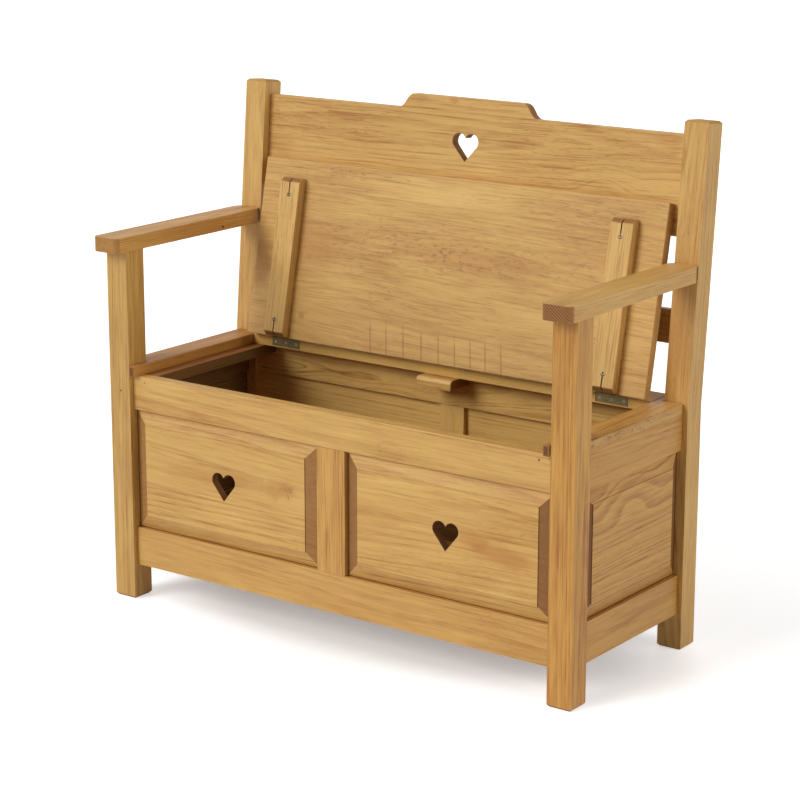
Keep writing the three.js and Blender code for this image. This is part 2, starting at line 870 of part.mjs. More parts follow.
// The opening angle at which the lid's top front edge comes to the crest's face.
function openAngle() {
  const y = pinY - lidFront;
  const z = pinZ - lidTop;
  const radius = Math.hypot(y, z);
  const toPosts = (rearPostFront - pinY) * Math.cos(backRake)
    - (kneeHeight - pinZ) * Math.sin(backRake);
  const reach = toPosts + crestSetback - fit;
  return backRake + Math.acos(-reach / radius) + Math.atan2(z, y);
}

function buildLid() {
  const swing = new THREE.Group();
  swing.position.set(0, pinY, pinZ);
  swing.rotation.x = -openAngle();
  const lid = new THREE.Group();
  lid.position.set(0, -pinY, -pinZ);
  swing.add(lid);
  piece(lid, "lid_board", lidBoard(), pine);
  for (const { name, way } of sides) {
    piece(lid, `lid_batten_${name}`, batten(way), palePine);
  }
  for (const { name, place } of battenScrewPlaces()) {
    addScrew(lid, `batten_screw_${name}`, battenScrew, place);
  }
  addLeaves(lid, -1, "lid");
  return swing;
}

// Frame

function buildBack() {
  const back = new THREE.Group();
  back.rotation.x = -backRake;
  back.position.set(0, rearPostFront, kneeHeight);
  piece(back, "crest_rail", crestRail(), pine);
  piece(back, "back_mid_rail", midRail(), pine);
  for (const { name, way } of sides) {
    addScrew(back, `arm_screw_${name}`, armScrew, armScrewPlace(way));
  }
  return back;
}

function buildFrame() {
  const frame = new THREE.Group();
  for (const side of sides) {
    piece(frame, `front_post_${side.name}`, frontPost(side.way), pine);
    piece(frame, `rear_post_${side.name}`, rearPost(side.way), pine);
    piece(frame, `armrest_${side.name}`, arm(side.way), pine);
    addSideFrame(frame, side);
    addFrontPanel(frame, side);
    addBackPanel(frame, side);
  }
  addLongFrame(frame, frontRow, "front");
  addLongFrame(frame, backRow, "back");
  addSeat(frame);
  addBottom(frame);
  addLeaves(frame, 1, "fixed");
  addPins(frame);
  frame.add(buildBack());
  return frame;
}

const bench = new THREE.Group();
bench.add(buildFrame());
bench.add(buildLid());
bench.position.y = (armOverhang - rearReach) / 2;

export default bench;
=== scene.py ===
"""The looks of the settle bench: waxed pine boards, each sawn its own way, and small steel ironwork."""

import json
import math
import random

import bmesh
import bpy
from mathutils import Matrix, Vector

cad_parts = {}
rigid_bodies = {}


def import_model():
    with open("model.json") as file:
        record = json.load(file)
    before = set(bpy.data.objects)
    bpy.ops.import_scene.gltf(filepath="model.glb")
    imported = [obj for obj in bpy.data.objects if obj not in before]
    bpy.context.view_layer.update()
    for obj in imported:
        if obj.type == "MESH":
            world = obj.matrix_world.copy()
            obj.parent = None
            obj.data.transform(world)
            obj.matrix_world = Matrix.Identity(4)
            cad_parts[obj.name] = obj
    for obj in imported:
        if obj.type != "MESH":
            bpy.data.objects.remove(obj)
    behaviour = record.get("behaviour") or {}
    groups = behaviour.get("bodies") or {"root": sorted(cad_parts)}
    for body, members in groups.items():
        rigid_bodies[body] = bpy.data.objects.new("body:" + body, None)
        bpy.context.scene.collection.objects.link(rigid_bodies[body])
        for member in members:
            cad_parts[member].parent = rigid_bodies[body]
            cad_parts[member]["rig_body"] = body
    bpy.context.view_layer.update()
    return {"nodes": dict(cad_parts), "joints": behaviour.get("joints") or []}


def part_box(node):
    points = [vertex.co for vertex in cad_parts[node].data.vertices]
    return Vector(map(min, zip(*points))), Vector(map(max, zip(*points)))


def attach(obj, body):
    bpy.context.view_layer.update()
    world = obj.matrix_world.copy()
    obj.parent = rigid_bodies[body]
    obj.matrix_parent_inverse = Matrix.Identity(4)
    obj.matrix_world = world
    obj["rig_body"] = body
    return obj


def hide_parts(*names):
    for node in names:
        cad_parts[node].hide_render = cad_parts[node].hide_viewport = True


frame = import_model()

MM = 0.001
# The bench's two sides, and which way along X each of them lies
SIDES = ("left", "right")
WAYS = {"left": -1, "right": 1}

# The back leans by this much, and the posts' blanks were sawn along the middle of their bend
BACK_RAKE = math.radians(4.94)
POST_LEAN = BACK_RAKE / 2
# The lid stands open by the whole range of its hinge
LID_OPEN = math.radians(frame["joints"][0]["range_deg"][1])


def linear(code):
    """Turns an sRGB hex colour into the linear values that the shaders take."""
    parts = [int(code[i : i + 2], 16) / 255 for i in (1, 3, 5)]
    return tuple(c / 12.92 if c <= 0.04045 else ((c + 0.055) / 1.055) ** 2.4 for c in parts) + (1.0,)


# Camera, where the photograph was taken from

AZIMUTH = math.radians(36.1396)
ELEVATION = math.radians(14.4832)
ROLL = math.radians(0.0701)
CAMERA_PLACE = (2.54174, -3.47637, 1.53635)
LENS_MM = 108.42
SENSOR_MM = 36.0


def make_camera():
    camera = bpy.data.objects.new("camera", bpy.data.cameras.new("camera"))
    camera.data.lens = LENS_MM
    camera.data.sensor_width = SENSOR_MM
    camera.location = CAMERA_PLACE
    turn = Matrix.Rotation(AZIMUTH, 3, "Z") @ Matrix.Rotation(math.pi / 2 - ELEVATION, 3, "X")
    camera.rotation_euler = (turn @ Matrix.Rotation(ROLL, 3, "Z")).to_euler()
    bpy.context.scene.collection.objects.link(camera)
    bpy.context.scene.camera = camera


# Shader nodes


def add(tree, kind, inputs=None, **settings):
    """Adds one node. An input is a value, a socket, or a node whose first working output is taken."""
    node = tree.nodes.new(kind)
    for name, value in settings.items():
        setattr(node, name, value)
    for key, value in (inputs or {}).items():
        if isinstance(value, bpy.types.Node):
            value = next(socket for socket in value.outputs if socket.enabled)
        if isinstance(value, bpy.types.NodeSocket):
            tree.links.new(value, node.inputs[key])
        else:
            node.inputs[key].default_value = value
    return node


def blank_material(name):
    """A new material with nothing in its node tree."""
    material = bpy.data.materials.new(name)
    material.use_nodes = True
    material.node_tree.nodes.clear()
    return material, material.node_tree


# Honey pine: planed softwood, stained a little and waxed. Straw-coloured early wood darkens to an
# amber line in each ring, resin ducts show as short dashes, and the wax gives a satin sheen.

STRAW = "#ddb264"
AMBER = "#a76e2a"
RESIN = "#8a5a28"
WARM_STAIN = "#b57b36"
# Knots and dents are this colour, and so is the painted shade in recesses, creases and under things
KNOT_WOOD_AND_SHADE = "#6e431c"
END_GRAIN = "#875427"
# Eased edges are painted towards this: a painted highlight, and wear
ARRIS_HIGHLIGHT_AND_WEAR = "#d5a763"
# What the box's inner sides are multiplied by: painted shade inside the box
INSIDE_SHADE = "#8f8478"

# Sizes in the wood, in millimetres across the grain, and how little each pattern changes along it.
# Real fibres are finer than a pixel of the picture, so they are drawn 2.4 mm wide
WANDER_SIZE = 170.0
RIPPLE_SIZE = 34.0
FIBRE_WIDTH = 2.4
STREAK_WIDTH = 6.5
LINE_WIDTH = 2.6
DASH_WIDTH = 2.2
MOTTLE_WIDTH = 5.0
CLOUD_SIZE = 80.0
BEND_LONG_SHARE = 0.16
FIBRE_LONG_SHARE = 0.04
STREAK_LONG_SHARE = 0.07
LINE_LONG_SHARE = 0.022
DASH_LONG_SHARE = 0.15
MOTTLE_LONG_SHARE = 0.35
CLOUD_LONG_SHARE = 0.3

PINE_INPUTS = (
    ("Place", "NodeSocketVector", (0, 0, 0)),
    ("Facing", "NodeSocketVector", (0, 0, 1)),
    ("Seed", "NodeSocketFloat", 0.0),
    ("Ring width", "NodeSocketFloat", 5 * MM),
    ("Ring depth", "NodeSocketFloat", 0.6),
    ("Wander", "NodeSocketFloat", 12 * MM),
    ("Lines", "NodeSocketFloat", 0.35),
    ("Dashes", "NodeSocketFloat", 0.3),
    ("Mottle", "NodeSocketFloat", 0.0),
    ("Clouds", "NodeSocketFloat", 0.4),
    ("Swirl", "NodeSocketFloat", 0.0),
    ("Stain", "NodeSocketFloat", 0.0),
    ("Pale", "NodeSocketFloat", 0.0),
    ("Knots and shade", "NodeSocketFloat", 0.0),
    ("Highlight and wear", "NodeSocketFloat", 0.0),
    ("End depth", "NodeSocketFloat", 0.85),
    ("Shade", "NodeSocketColor", (1, 1, 1, 1)),
)
PINE_OUTPUTS = (
    ("Color", "NodeSocketColor"),
    ("Roughness", "NodeSocketFloat"),
    ("Height", "NodeSocketFloat"),
)
# Where the factor and the two colours stand among a colour mix's sockets
MIX_FACTOR, MIX_A, MIX_B = 0, 6, 7
# The middle of a noise's colour
HALF = (0.5, 0.5, 0.5)
# How much thicker the log gets towards its foot, and how far it bends, in times the given wander
TAPER = 0.012
BEND_TIMES = 4.0
RIPPLE_TIMES = 0.3
# How quickly good years follow on poor ones, in each ring, and by how many rings they shift the lines
YEARS_PACE = 0.31
YEARS_SHIFT = 4.0
# A middling board's colour depth, and how much each pattern swings it
MIDDLE_TONE = 0.33
STREAK_SWING = 1.7
CLOUD_SWING = 1.9
FIBRE_SWING = 0.7
RING_SWING = 0.22


def build_pine_group():
    """The wood itself. Place runs x along the grain, with the heart of the log at y = z = 0."""
    tree = bpy.data.node_groups.new("pine", "ShaderNodeTree")
    for name, kind, value in PINE_INPUTS:
        tree.interface.new_socket(name, in_out="INPUT", socket_type=kind).default_value = value
    for name, kind in PINE_OUTPUTS:
        tree.interface.new_socket(name, in_out="OUTPUT", socket_type=kind)
    given = add(tree, "NodeGroupInput").outputs

    # Slow bends in the trunk, long along the grain, and a small ripple on top of them
    bent_place = add(tree, "ShaderNodeVectorMath", {0: given["Place"], 1: (BEND_LONG_SHARE, 1, 1)},
                     operation="MULTIPLY")
    bend = add(tree, "ShaderNodeTexNoise",
               {"Vector": bent_place, "W": given["Seed"], "Scale": 1 / (WANDER_SIZE * MM),
                "Detail": 1.0}, noise_dimensions="4D")
    ripple = add(tree, "ShaderNodeTexNoise",
                 {"Vector": bent_place, "W": given["Seed"], "Scale": 1 / (RIPPLE_SIZE * MM),
                  "Detail": 1.0}, noise_dimensions="4D")
    bend_way = add(tree, "ShaderNodeVectorMath", {0: bend.outputs["Color"], 1: HALF},
                   operation="SUBTRACT")
    ripple_way = add(tree, "ShaderNodeVectorMath", {0: ripple.outputs["Color"], 1: HALF},
                     operation="SUBTRACT")
    bend_far = add(tree, "ShaderNodeMath", {0: given["Wander"], 1: BEND_TIMES}, operation="MULTIPLY")
    ripple_far = add(tree, "ShaderNodeMath", {0: given["Wander"], 1: RIPPLE_TIMES}, operation="MULTIPLY")
    bent = add(tree, "ShaderNodeVectorMath", {0: bend_way, "Scale": bend_far}, operation="SCALE")
    rippled = add(tree, "ShaderNodeVectorMath", {0: ripple_way, "Scale": ripple_far}, operation="SCALE")
    shifted = add(tree, "ShaderNodeVectorMath", {0: given["Place"], 1: bent}, operation="ADD")
    warped = add(tree, "ShaderNodeVectorMath", {0: shifted, 1: rippled}, operation="ADD")

    # Distance from the heart of the log, in rings; the log tapers, which draws the pointed arches
    across = add(tree, "ShaderNodeVectorMath", {0: warped, 1: (0, 1, 1)}, operation="MULTIPLY")
    radius = add(tree, "ShaderNodeVectorMath", {0: across}, operation="LENGTH").outputs["Value"]
    along = add(tree, "ShaderNodeSeparateXYZ", {0: warped}).outputs["X"]
    tapered = add(tree, "ShaderNodeMath", {0: along, 1: TAPER, 2: radius}, operation="MULTIPLY_ADD")
    swirled = add(tree, "ShaderNodeMath", {0: tapered, 1: given["Swirl"]}, operation="ADD")
    rings = add(tree, "ShaderNodeMath", {0: swirled, 1: given["Ring width"]}, operation="DIVIDE")
    # Good and poor years: the rings draw together and apart, and few of them are dark
    years = add(tree, "ShaderNodeTexNoise", {"W": rings, "Scale": YEARS_PACE, "Detail": 1.0},
                noise_dimensions="1D")
    uneven = add(tree, "ShaderNodeMath", {0: years.outputs[0], 1: YEARS_SHIFT, 2: rings},
                 operation="MULTIPLY_ADD")
    part = add(tree, "ShaderNodeMath", {0: uneven}, operation="FRACT")
    year = add(tree, "ShaderNodeMath", {0: uneven}, operation="FLOOR")
    chance = add(tree, "ShaderNodeTexWhiteNoise", {"W": year}, noise_dimensions="1D")
    weight = add(tree, "ShaderNodeMath", {0: chance.outputs["Value"], 1: 1.8}, operation="POWER")
    rise = add(tree, "ShaderNodeMapRange", {"Value": part, "From Min": 0.35, "From Max": 0.88},
               interpolation_type="SMOOTHSTEP")
    fall = add(tree, "ShaderNodeMapRange", {"Value": part, "From Min": 0.9, "From Max": 1.0,
                                           "To Min": 1.0, "To Max": 0.0},
               interpolation_type="SMOOTHSTEP")
    line = add(tree, "ShaderNodeMath", {0: rise, 1: fall}, operation="MULTIPLY")
    # Each dark line comes and goes along the board
    fading = add(tree, "ShaderNodeTexNoise",
                 {"Vector": bent_place, "W": given["Seed"], "Scale": 1 / (STREAK_WIDTH * MM),
                  "Detail": 1.0}, noise_dimensions="4D")
    faded = add(tree, "ShaderNodeMapRange", {"Value": fading.outputs[0], "From Min": 0.36,
                                            "From Max": 0.62, "To Min": 0.15})
    weighed = add(tree, "ShaderNodeMath", {0: weight, 1: faded}, operation="MULTIPLY")
    weighed = add(tree, "ShaderNodeMath", {0: weighed, 1: 0.9, 2: 0.1}, operation="MULTIPLY_ADD")
    late = add(tree, "ShaderNodeMath", {0: line, 1: weighed}, operation="MULTIPLY")

    # The streaks and marks that follow the grain, each from its own stretched noise
    found = {}
    for name, share, size, detail in (
        ("fibre", FIBRE_LONG_SHARE, FIBRE_WIDTH, 2.0),
        ("streak", STREAK_LONG_SHARE, STREAK_WIDTH, 2.0),
        ("fine line", LINE_LONG_SHARE, LINE_WIDTH, 1.0),
        ("duct", DASH_LONG_SHARE, DASH_WIDTH, 0.0),
        ("fleck", MOTTLE_LONG_SHARE, MOTTLE_WIDTH, 2.0),
        ("cloud", CLOUD_LONG_SHARE, CLOUD_SIZE, 3.0),
    ):
        drawn_out = add(tree, "ShaderNodeVectorMath", {0: warped, 1: (share, 1, 1)},
                        operation="MULTIPLY")
        found[name] = add(tree, "ShaderNodeTexNoise",
                          {"Vector": drawn_out, "W": given["Seed"], "Scale": 1 / (size * MM),
                           "Detail": detail}, noise_dimensions="4D").outputs[0]
    dash = add(tree, "ShaderNodeMapRange", {"Value": found["duct"], "From Min": 0.62, "From Max": 0.74},
               interpolation_type="SMOOTHSTEP")
    thin = add(tree, "ShaderNodeMapRange", {"Value": found["fine line"], "From Min": 0.55,
                                           "From Max": 0.66}, interpolation_type="SMOOTHSTEP")
    fleck = add(tree, "ShaderNodeMapRange", {"Value": found["fleck"], "From Min": 0.54,
                                            "From Max": 0.68}, interpolation_type="SMOOTHSTEP")
    patchy = add(tree, "ShaderNodeMapRange", {"Value": found["cloud"], "From Min": 0.46,
                                             "From Max": 0.66}, interpolation_type="SMOOTHSTEP")

    # How deep the colour is, from straw at 0 to amber at 1
    tone = add(tree, "ShaderNodeMath", {0: late, 1: given["Ring depth"], 2: MIDDLE_TONE},
               operation="MULTIPLY_ADD")
    for noise, strength, share in ((found["streak"], STREAK_SWING, given["Clouds"]),
                                   (found["cloud"], CLOUD_SWING, given["Clouds"]),
                                   (found["fibre"], FIBRE_SWING, 1.0),
                                   (part, RING_SWING, given["Ring depth"])):
        swing = add(tree, "ShaderNodeMath", {0: noise, 1: -0.5}, operation="ADD")
        scaled = add(tree, "ShaderNodeMath", {0: swing, 1: strength}, operation="MULTIPLY")
        tone = add(tree, "ShaderNodeMath", {0: scaled, 1: share, 2: tone}, operation="MULTIPLY_ADD")
    tone = add(tree, "ShaderNodeMath", {0: thin, 1: given["Lines"], 2: tone}, operation="MULTIPLY_ADD")
    tone = add(tree, "ShaderNodeMath", {0: tone, 1: given["Pale"]}, operation="SUBTRACT",
               use_clamp=True)
    colour = add(tree, "ShaderNodeMix", {MIX_FACTOR: tone, MIX_A: linear(STRAW), MIX_B: linear(AMBER)},
                 data_type="RGBA")
    patchy_dash = add(tree, "ShaderNodeMath", {0: patchy, 1: 0.7, 2: 0.3}, operation="MULTIPLY_ADD")
    dash_here = add(tree, "ShaderNodeMath", {0: dash, 1: patchy_dash}, operation="MULTIPLY")
    dash_share = add(tree, "ShaderNodeMath", {0: dash_here, 1: given["Dashes"]}, operation="MULTIPLY",
                     use_clamp=True)
    fleck_share = add(tree, "ShaderNodeMath", {0: fleck, 1: given["Mottle"]}, operation="MULTIPLY",
                      use_clamp=True)
    # End grain drinks the stain, so it is darker and duller, and so are slopes across the grain
    facing_along = add(tree, "ShaderNodeSeparateXYZ", {0: given["Facing"]}).outputs["X"]
    facing_end = add(tree, "ShaderNodeMath", {0: facing_along}, operation="ABSOLUTE")
    end = add(tree, "ShaderNodeMapRange", {"Value": facing_end, "From Min": 0.05, "From Max": 0.37})
    end_share = add(tree, "ShaderNodeMath", {0: end, 1: given["End depth"]}, operation="MULTIPLY")
    # The knot colour here also paints shade into recesses, creases and undersides
    for share, paint in ((given["Stain"], WARM_STAIN), (fleck_share, RESIN), (dash_share, RESIN),
                         (end_share, END_GRAIN), (given["Knots and shade"], KNOT_WOOD_AND_SHADE),
                         (given["Highlight and wear"], ARRIS_HIGHLIGHT_AND_WEAR)):
        colour = add(tree, "ShaderNodeMix", {MIX_FACTOR: share, MIX_A: colour, MIX_B: linear(paint)},
                     data_type="RGBA")
    # Each fibre takes the light a little differently
    fibre_light = add(tree, "ShaderNodeMapRange", {"Value": found["fibre"], "From Min": 0.2,
                                                  "From Max": 0.8, "To Min": 0.92, "To Max": 1.08})
    fibred = add(tree, "ShaderNodeMix", {MIX_FACTOR: 1.0, MIX_A: colour, MIX_B: fibre_light},
                 data_type="RGBA", blend_type="MULTIPLY")
    shaded = add(tree, "ShaderNodeMix", {MIX_FACTOR: 1.0, MIX_A: fibred, MIX_B: given["Shade"]},
                 data_type="RGBA", blend_type="MULTIPLY")

    rough_wood = add(tree, "ShaderNodeMapRange", {"Value": found["fibre"], "To Min": 0.42,
                                                 "To Max": 0.6})
    rough = add(tree, "ShaderNodeMath", {0: end, 1: 0.25, 2: rough_wood}, operation="MULTIPLY_ADD")
    ridge = add(tree, "ShaderNodeMath", {0: late, 1: 0.5, 2: found["fibre"]}, operation="MULTIPLY_ADD")
    height = add(tree, "ShaderNodeMath", {0: dash_share, 1: -0.6, 2: ridge}, operation="MULTIPLY_ADD")
    add(tree, "NodeGroupOutput", {"Color": shaded, "Roughness": rough, "Height": height})
    return tree


# How a board lies: the turn that takes the pattern's x onto the board's length

ALONG_X = Matrix.Identity(3)
ALONG_Y = Matrix.Rotation(math.pi / 2, 3, "Z")
UPRIGHT = Matrix.Rotation(-math.pi / 2, 3, "Y")
LEANING = Matrix.Rotation(-POST_LEAN, 3, "X") @ UPRIGHT
RAKED_X = Matrix.Rotation(-BACK_RAKE, 3, "X")
LID_X = Matrix.Rotation(-LID_OPEN, 3, "X")
LID_Y = LID_X @ ALONG_Y


def centre_of(node):
    low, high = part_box(node)
    return (low + high) / 2


def spot_on(tree, place, centre, turn, spot):
    """A spot (x, y, z, length, width, strength) with a ragged edge: its strength inside, 0 outside."""
    x, y, z, length, width, strength = spot
    near = add(tree, "ShaderNodeMapping",
               {"Vector": place, "Location": centre + Vector((x, y, z)) * MM,
                "Rotation": turn.to_euler(),
                "Scale": (length / 2 * MM, width / 2 * MM, width / 2 * MM)}, vector_type="TEXTURE")
    wobble = add(tree, "ShaderNodeTexNoise", {"Vector": near, "Scale": 1.3, "Detail": 2.0})
    far = add(tree, "ShaderNodeVectorMath", {0: near}, operation="LENGTH").outputs["Value"]
    wavy = add(tree, "ShaderNodeMath", {0: wobble.outputs[0], 1: 1.2, 2: far}, operation="MULTIPLY_ADD")
    return add(tree, "ShaderNodeMapRange", {"Value": wavy, "From Min": 0.9, "From Max": 1.7,
                                           "To Min": strength, "To Max": 0.0},
               interpolation_type="SMOOTHSTEP")


# A ball of this radius round a heart's middle holds all its walls, and this is how dark they are painted,
# as shade inside the cut
HEART_REACH = 40 * MM
WALL_SHADE = 0.6
# A knot's stain and the bend it gives the rings, for its strength and size, and how long it is drawn
KNOT_STAIN = 0.6
KNOT_BEND_SHARE = 0.6
KNOT_LONG_SHARE = 2.2
# How much an eased edge is painted paler, as a highlight and as wear, and how high the grain stands
ARRIS_HIGHLIGHT_DEPTH = 0.45
GRAIN_RELIEF = 0.4 * MM


def pine(name, turn, centre, heart, ring=5.0, depth=0.6, wander=12.0, lines=0.22, dashes=0.3,
         mottle=0.0, clouds=0.4, shade="#ffffff", knots=(), dots=(), stains=(), mottles=(), pales=(),
         dull_side=None, extra=None, end=0.85, pale=0.0, gloss=0.5, cut_out=None):
    """One board's own wood. heart is how far across and how deep the log's heart lies from the middle
    of the board, in mm. From that middle too, a knot is (x, y, z, radius, strength), a dot
    (x, y, z, radius), and a stain, mottle or pale patch (x, y, z, length, width, strength).
    dull_side is the way that the board's inner side faces, which is painted darker as shade, extra
    draws more dark marks and painted shade, end is how dark the end grain is, pale lightens the whole
    board, and cut_out is the middle of a heart, whose walls are painted dark as shade."""
    material, tree = blank_material(name + "_waxed_pine")
    seed = random.Random(name).uniform(0, 50)
    place = add(tree, "ShaderNodeTexCoord").outputs
    origin = centre + turn @ Vector((0, heart[0] * MM, heart[1] * MM))
    wood = add(tree, "ShaderNodeMapping", {"Vector": place["Object"], "Location": origin,
                                          "Rotation": turn.to_euler()}, vector_type="TEXTURE")
    facing = add(tree, "ShaderNodeMapping", {"Vector": place["Normal"], "Rotation": turn.to_euler()},
                 vector_type="TEXTURE")
    swirl, knots_and_shade = 0.0, 0.0
    patches = {"Stain": 0.0, "Mottle": mottle, "Pale": pale}
    for x, y, z, size, strength in knots:
        spot = centre + Vector((x, y, z)) * MM
        near = add(tree, "ShaderNodeMapping", {"Vector": place["Object"], "Location": spot,
                                              "Rotation": turn.to_euler(),
                                              "Scale": (KNOT_LONG_SHARE * size * MM, size * MM,
                                                        size * MM)},
                   vector_type="TEXTURE")
        far = add(tree, "ShaderNodeVectorMath", {0: near}, operation="LENGTH").outputs["Value"]
        halo = add(tree, "ShaderNodeMapRange", {"Value": far, "From Max": 1.6, "To Min": 1.0,
                                               "To Max": 0.0}, interpolation_type="SMOOTHSTEP")
        swirl = add(tree, "ShaderNodeMath", {0: halo, 1: size * MM * KNOT_BEND_SHARE, 2: swirl},
                    operation="MULTIPLY_ADD")
        patches["Stain"] = add(tree, "ShaderNodeMath",
                               {0: halo, 1: KNOT_STAIN * strength, 2: patches["Stain"]},
                               operation="MULTIPLY_ADD")
        heartwood = add(tree, "ShaderNodeMapRange", {"Value": far, "From Min": 0.1, "From Max": 0.4,
                                                    "To Min": strength, "To Max": 0.0},
                        interpolation_type="SMOOTHSTEP")
        knots_and_shade = add(tree, "ShaderNodeMath", {0: heartwood, 1: knots_and_shade}, operation="ADD")
    for x, y, z, size in dots:
        spot = centre + Vector((x, y, z)) * MM
        far = add(tree, "ShaderNodeVectorMath", {0: place["Object"], 1: spot},
                  operation="DISTANCE").outputs["Value"]
        dent = add(tree, "ShaderNodeMapRange", {"Value": far, "From Min": 0.6 * size * MM,
                                               "From Max": size * MM, "To Min": 1.0, "To Max": 0.0})
        knots_and_shade = add(tree, "ShaderNodeMath", {0: dent, 1: knots_and_shade}, operation="ADD")
    for kind, spots in (("Stain", stains), ("Mottle", mottles), ("Pale", pales)):
        for spot in spots:
            near = spot_on(tree, place["Object"], centre, turn, spot)
            patches[kind] = add(tree, "ShaderNodeMath", {0: near, 1: patches[kind]}, operation="ADD")
    # The walls of a heart cut through the board are painted dark, as shade inside the cut
    if cut_out:
        spot = centre + Vector(cut_out) * MM
        far = add(tree, "ShaderNodeVectorMath", {0: place["Object"], 1: spot},
                  operation="DISTANCE").outputs["Value"]
        near = add(tree, "ShaderNodeMath", {0: far, 1: HEART_REACH}, operation="LESS_THAN")
        depth_way = add(tree, "ShaderNodeSeparateXYZ", {0: facing}).outputs["Y"]
        depth_way = add(tree, "ShaderNodeMath", {0: depth_way}, operation="ABSOLUTE")
        wall_shade = add(tree, "ShaderNodeMapRange", {"Value": depth_way, "From Min": 0.1, "From Max": 0.3,
                                               "To Min": WALL_SHADE, "To Max": 0.0})
        knots_and_shade = add(tree, "ShaderNodeMath", {0: near, 1: wall_shade, 2: knots_and_shade}, operation="MULTIPLY_ADD")
    if extra:
        knots_and_shade = add(tree, "ShaderNodeMath", {0: extra(tree, place["Object"], place["Normal"]), 1: knots_and_shade},
                   operation="ADD", use_clamp=True)
    tint = linear(shade)
    # Faces turned the given way are painted darker, as shade inside the box
    if dull_side:
        towards = add(tree, "ShaderNodeVectorMath", {0: place["Normal"], 1: dull_side},
                      operation="DOT_PRODUCT").outputs["Value"]
        dull = add(tree, "ShaderNodeMapRange", {"Value": towards, "From Min": 0.5, "From Max": 0.9})
        tint = add(tree, "ShaderNodeMix", {MIX_FACTOR: dull, MIX_A: tint, MIX_B: linear(INSIDE_SHADE)},
                   data_type="RGBA")
    # The bevel leaves this mark on each eased edge, which is painted paler: a painted highlight, and wear
    # where handling has rubbed the stain thin
    eased = add(tree, "ShaderNodeAttribute", attribute_name="eased").outputs["Fac"]
    arris_highlight = add(tree, "ShaderNodeMath", {0: eased, 1: ARRIS_HIGHLIGHT_DEPTH}, operation="MULTIPLY")
    grain = add(tree, "ShaderNodeGroup",
                {"Place": wood, "Facing": facing, "Seed": seed, "Ring width": ring * MM,
                 "Ring depth": depth, "Wander": wander * MM, "Lines": lines, "Dashes": dashes,
                 "Clouds": clouds, "Swirl": swirl, "Knots and shade": knots_and_shade, "Highlight and wear": arris_highlight, "End depth": end,
                 "Shade": tint, **patches}, node_tree=pine_group).outputs
    bump = add(tree, "ShaderNodeBump", {"Height": grain["Height"], "Strength": 0.35,
                                       "Distance": GRAIN_RELIEF})
    surface = add(tree, "ShaderNodeBsdfPrincipled", {"Base Color": grain["Color"],
                                                    "Roughness": grain["Roughness"],
                                                    "Specular IOR Level": gloss, "Normal": bump})
    add(tree, "ShaderNodeOutputMaterial", {"Surface": surface})
    return material


# Steel


def is_iron(name):
    return "screw" in name or name.startswith(("hinge_fixed", "hinge_lid", "hinge_pin"))


# Where each screw, leaf and pin lies at rest
IRON_BOXES = {name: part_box(name) for name in frame["nodes"] if is_iron(name)}


def make_bronzed_steel():
    """Pressed steel leaves in a dull bronze lacquer: brownish olive, rubbed brighter here and there."""
    material, tree = blank_material("bronzed_steel")
    place = add(tree, "ShaderNodeTexCoord").outputs["Object"]
    rub = add(tree, "ShaderNodeTexNoise", {"Vector": place, "Scale": 1 / (6 * MM), "Detail": 3.0})
    colour = add(tree, "ShaderNodeMix", {MIX_FACTOR: rub.outputs[0], MIX_A: linear("#6d6240"),
                                        MIX_B: linear("#a79b70")}, data_type="RGBA")
    rough = add(tree, "ShaderNodeMapRange", {"Value": rub.outputs[0], "To Min": 0.55, "To Max": 0.35})
    surface = add(tree, "ShaderNodeBsdfPrincipled", {"Base Color": colour, "Roughness": rough,
                                                    "Metallic": 0.8})
    add(tree, "ShaderNodeOutputMaterial", {"Surface": surface})
    return material


# How far the painted shade of a screw's cross recess reaches, and the painted highlight round it: the
# large screws in the battens and arms, and the small ones in the hinges
RECESS_SHADE = 2.1 * MM
HEAD_HIGHLIGHT = 4.4 * MM
SMALL_RECESS_SHADE = 0.9 * MM
SMALL_HIGHLIGHT = 3.2 * MM


def make_screw_steel(name, axis, head, shade_reach, colour):
    """Zinc-plated, yellowed screws: a painted highlight, and painted shade in the recess and at the rim.
    """
    material, tree = blank_material(name + "_zinc_steel")
    place = add(tree, "ShaderNodeTexCoord").outputs["Object"]
    grain = add(tree, "ShaderNodeTexNoise", {"Vector": place, "Scale": 1 / (1.5 * MM), "Detail": 2.0})
    low, high = IRON_BOXES[name]
    off = add(tree, "ShaderNodeVectorMath", {0: place, 1: (low + high) / 2}, operation="SUBTRACT")
    across = add(tree, "ShaderNodeVectorMath", {0: off, 1: axis}, operation="CROSS_PRODUCT")
    far = add(tree, "ShaderNodeVectorMath", {0: across}, operation="LENGTH").outputs["Value"]
    # Painted shade in the cross recess and round the rim, and a painted highlight on the head between
    # them
    out_of_shade = add(tree, "ShaderNodeMapRange", {"Value": far, "From Min": 0.75 * shade_reach, "From Max": shade_reach})
    rim = add(tree, "ShaderNodeMapRange", {"Value": far, "From Min": 0.82 * head, "From Max": head,
                                          "To Min": 1.0, "To Max": 0.15})
    highlight_share = add(tree, "ShaderNodeMath", {0: out_of_shade, 1: rim}, operation="MULTIPLY")
    plated = add(tree, "ShaderNodeMix", {MIX_FACTOR: grain.outputs[0], MIX_A: linear(colour),
                                        MIX_B: linear("#cdb78c")}, data_type="RGBA")
    highlit_and_shaded = add(tree, "ShaderNodeMix", {MIX_FACTOR: highlight_share, MIX_A: linear("#33220f"), MIX_B: plated},
                data_type="RGBA")
    rough = add(tree, "ShaderNodeMapRange", {"Value": grain.outputs[0], "To Min": 0.6, "To Max": 0.45})
    surface = add(tree, "ShaderNodeBsdfPrincipled", {"Base Color": highlit_and_shaded, "Roughness": rough,
                                                    "Metallic": 0.15, "Specular IOR Level": 0.3})
    add(tree, "ShaderNodeOutputMaterial", {"Surface": surface})
    return material


# Boards

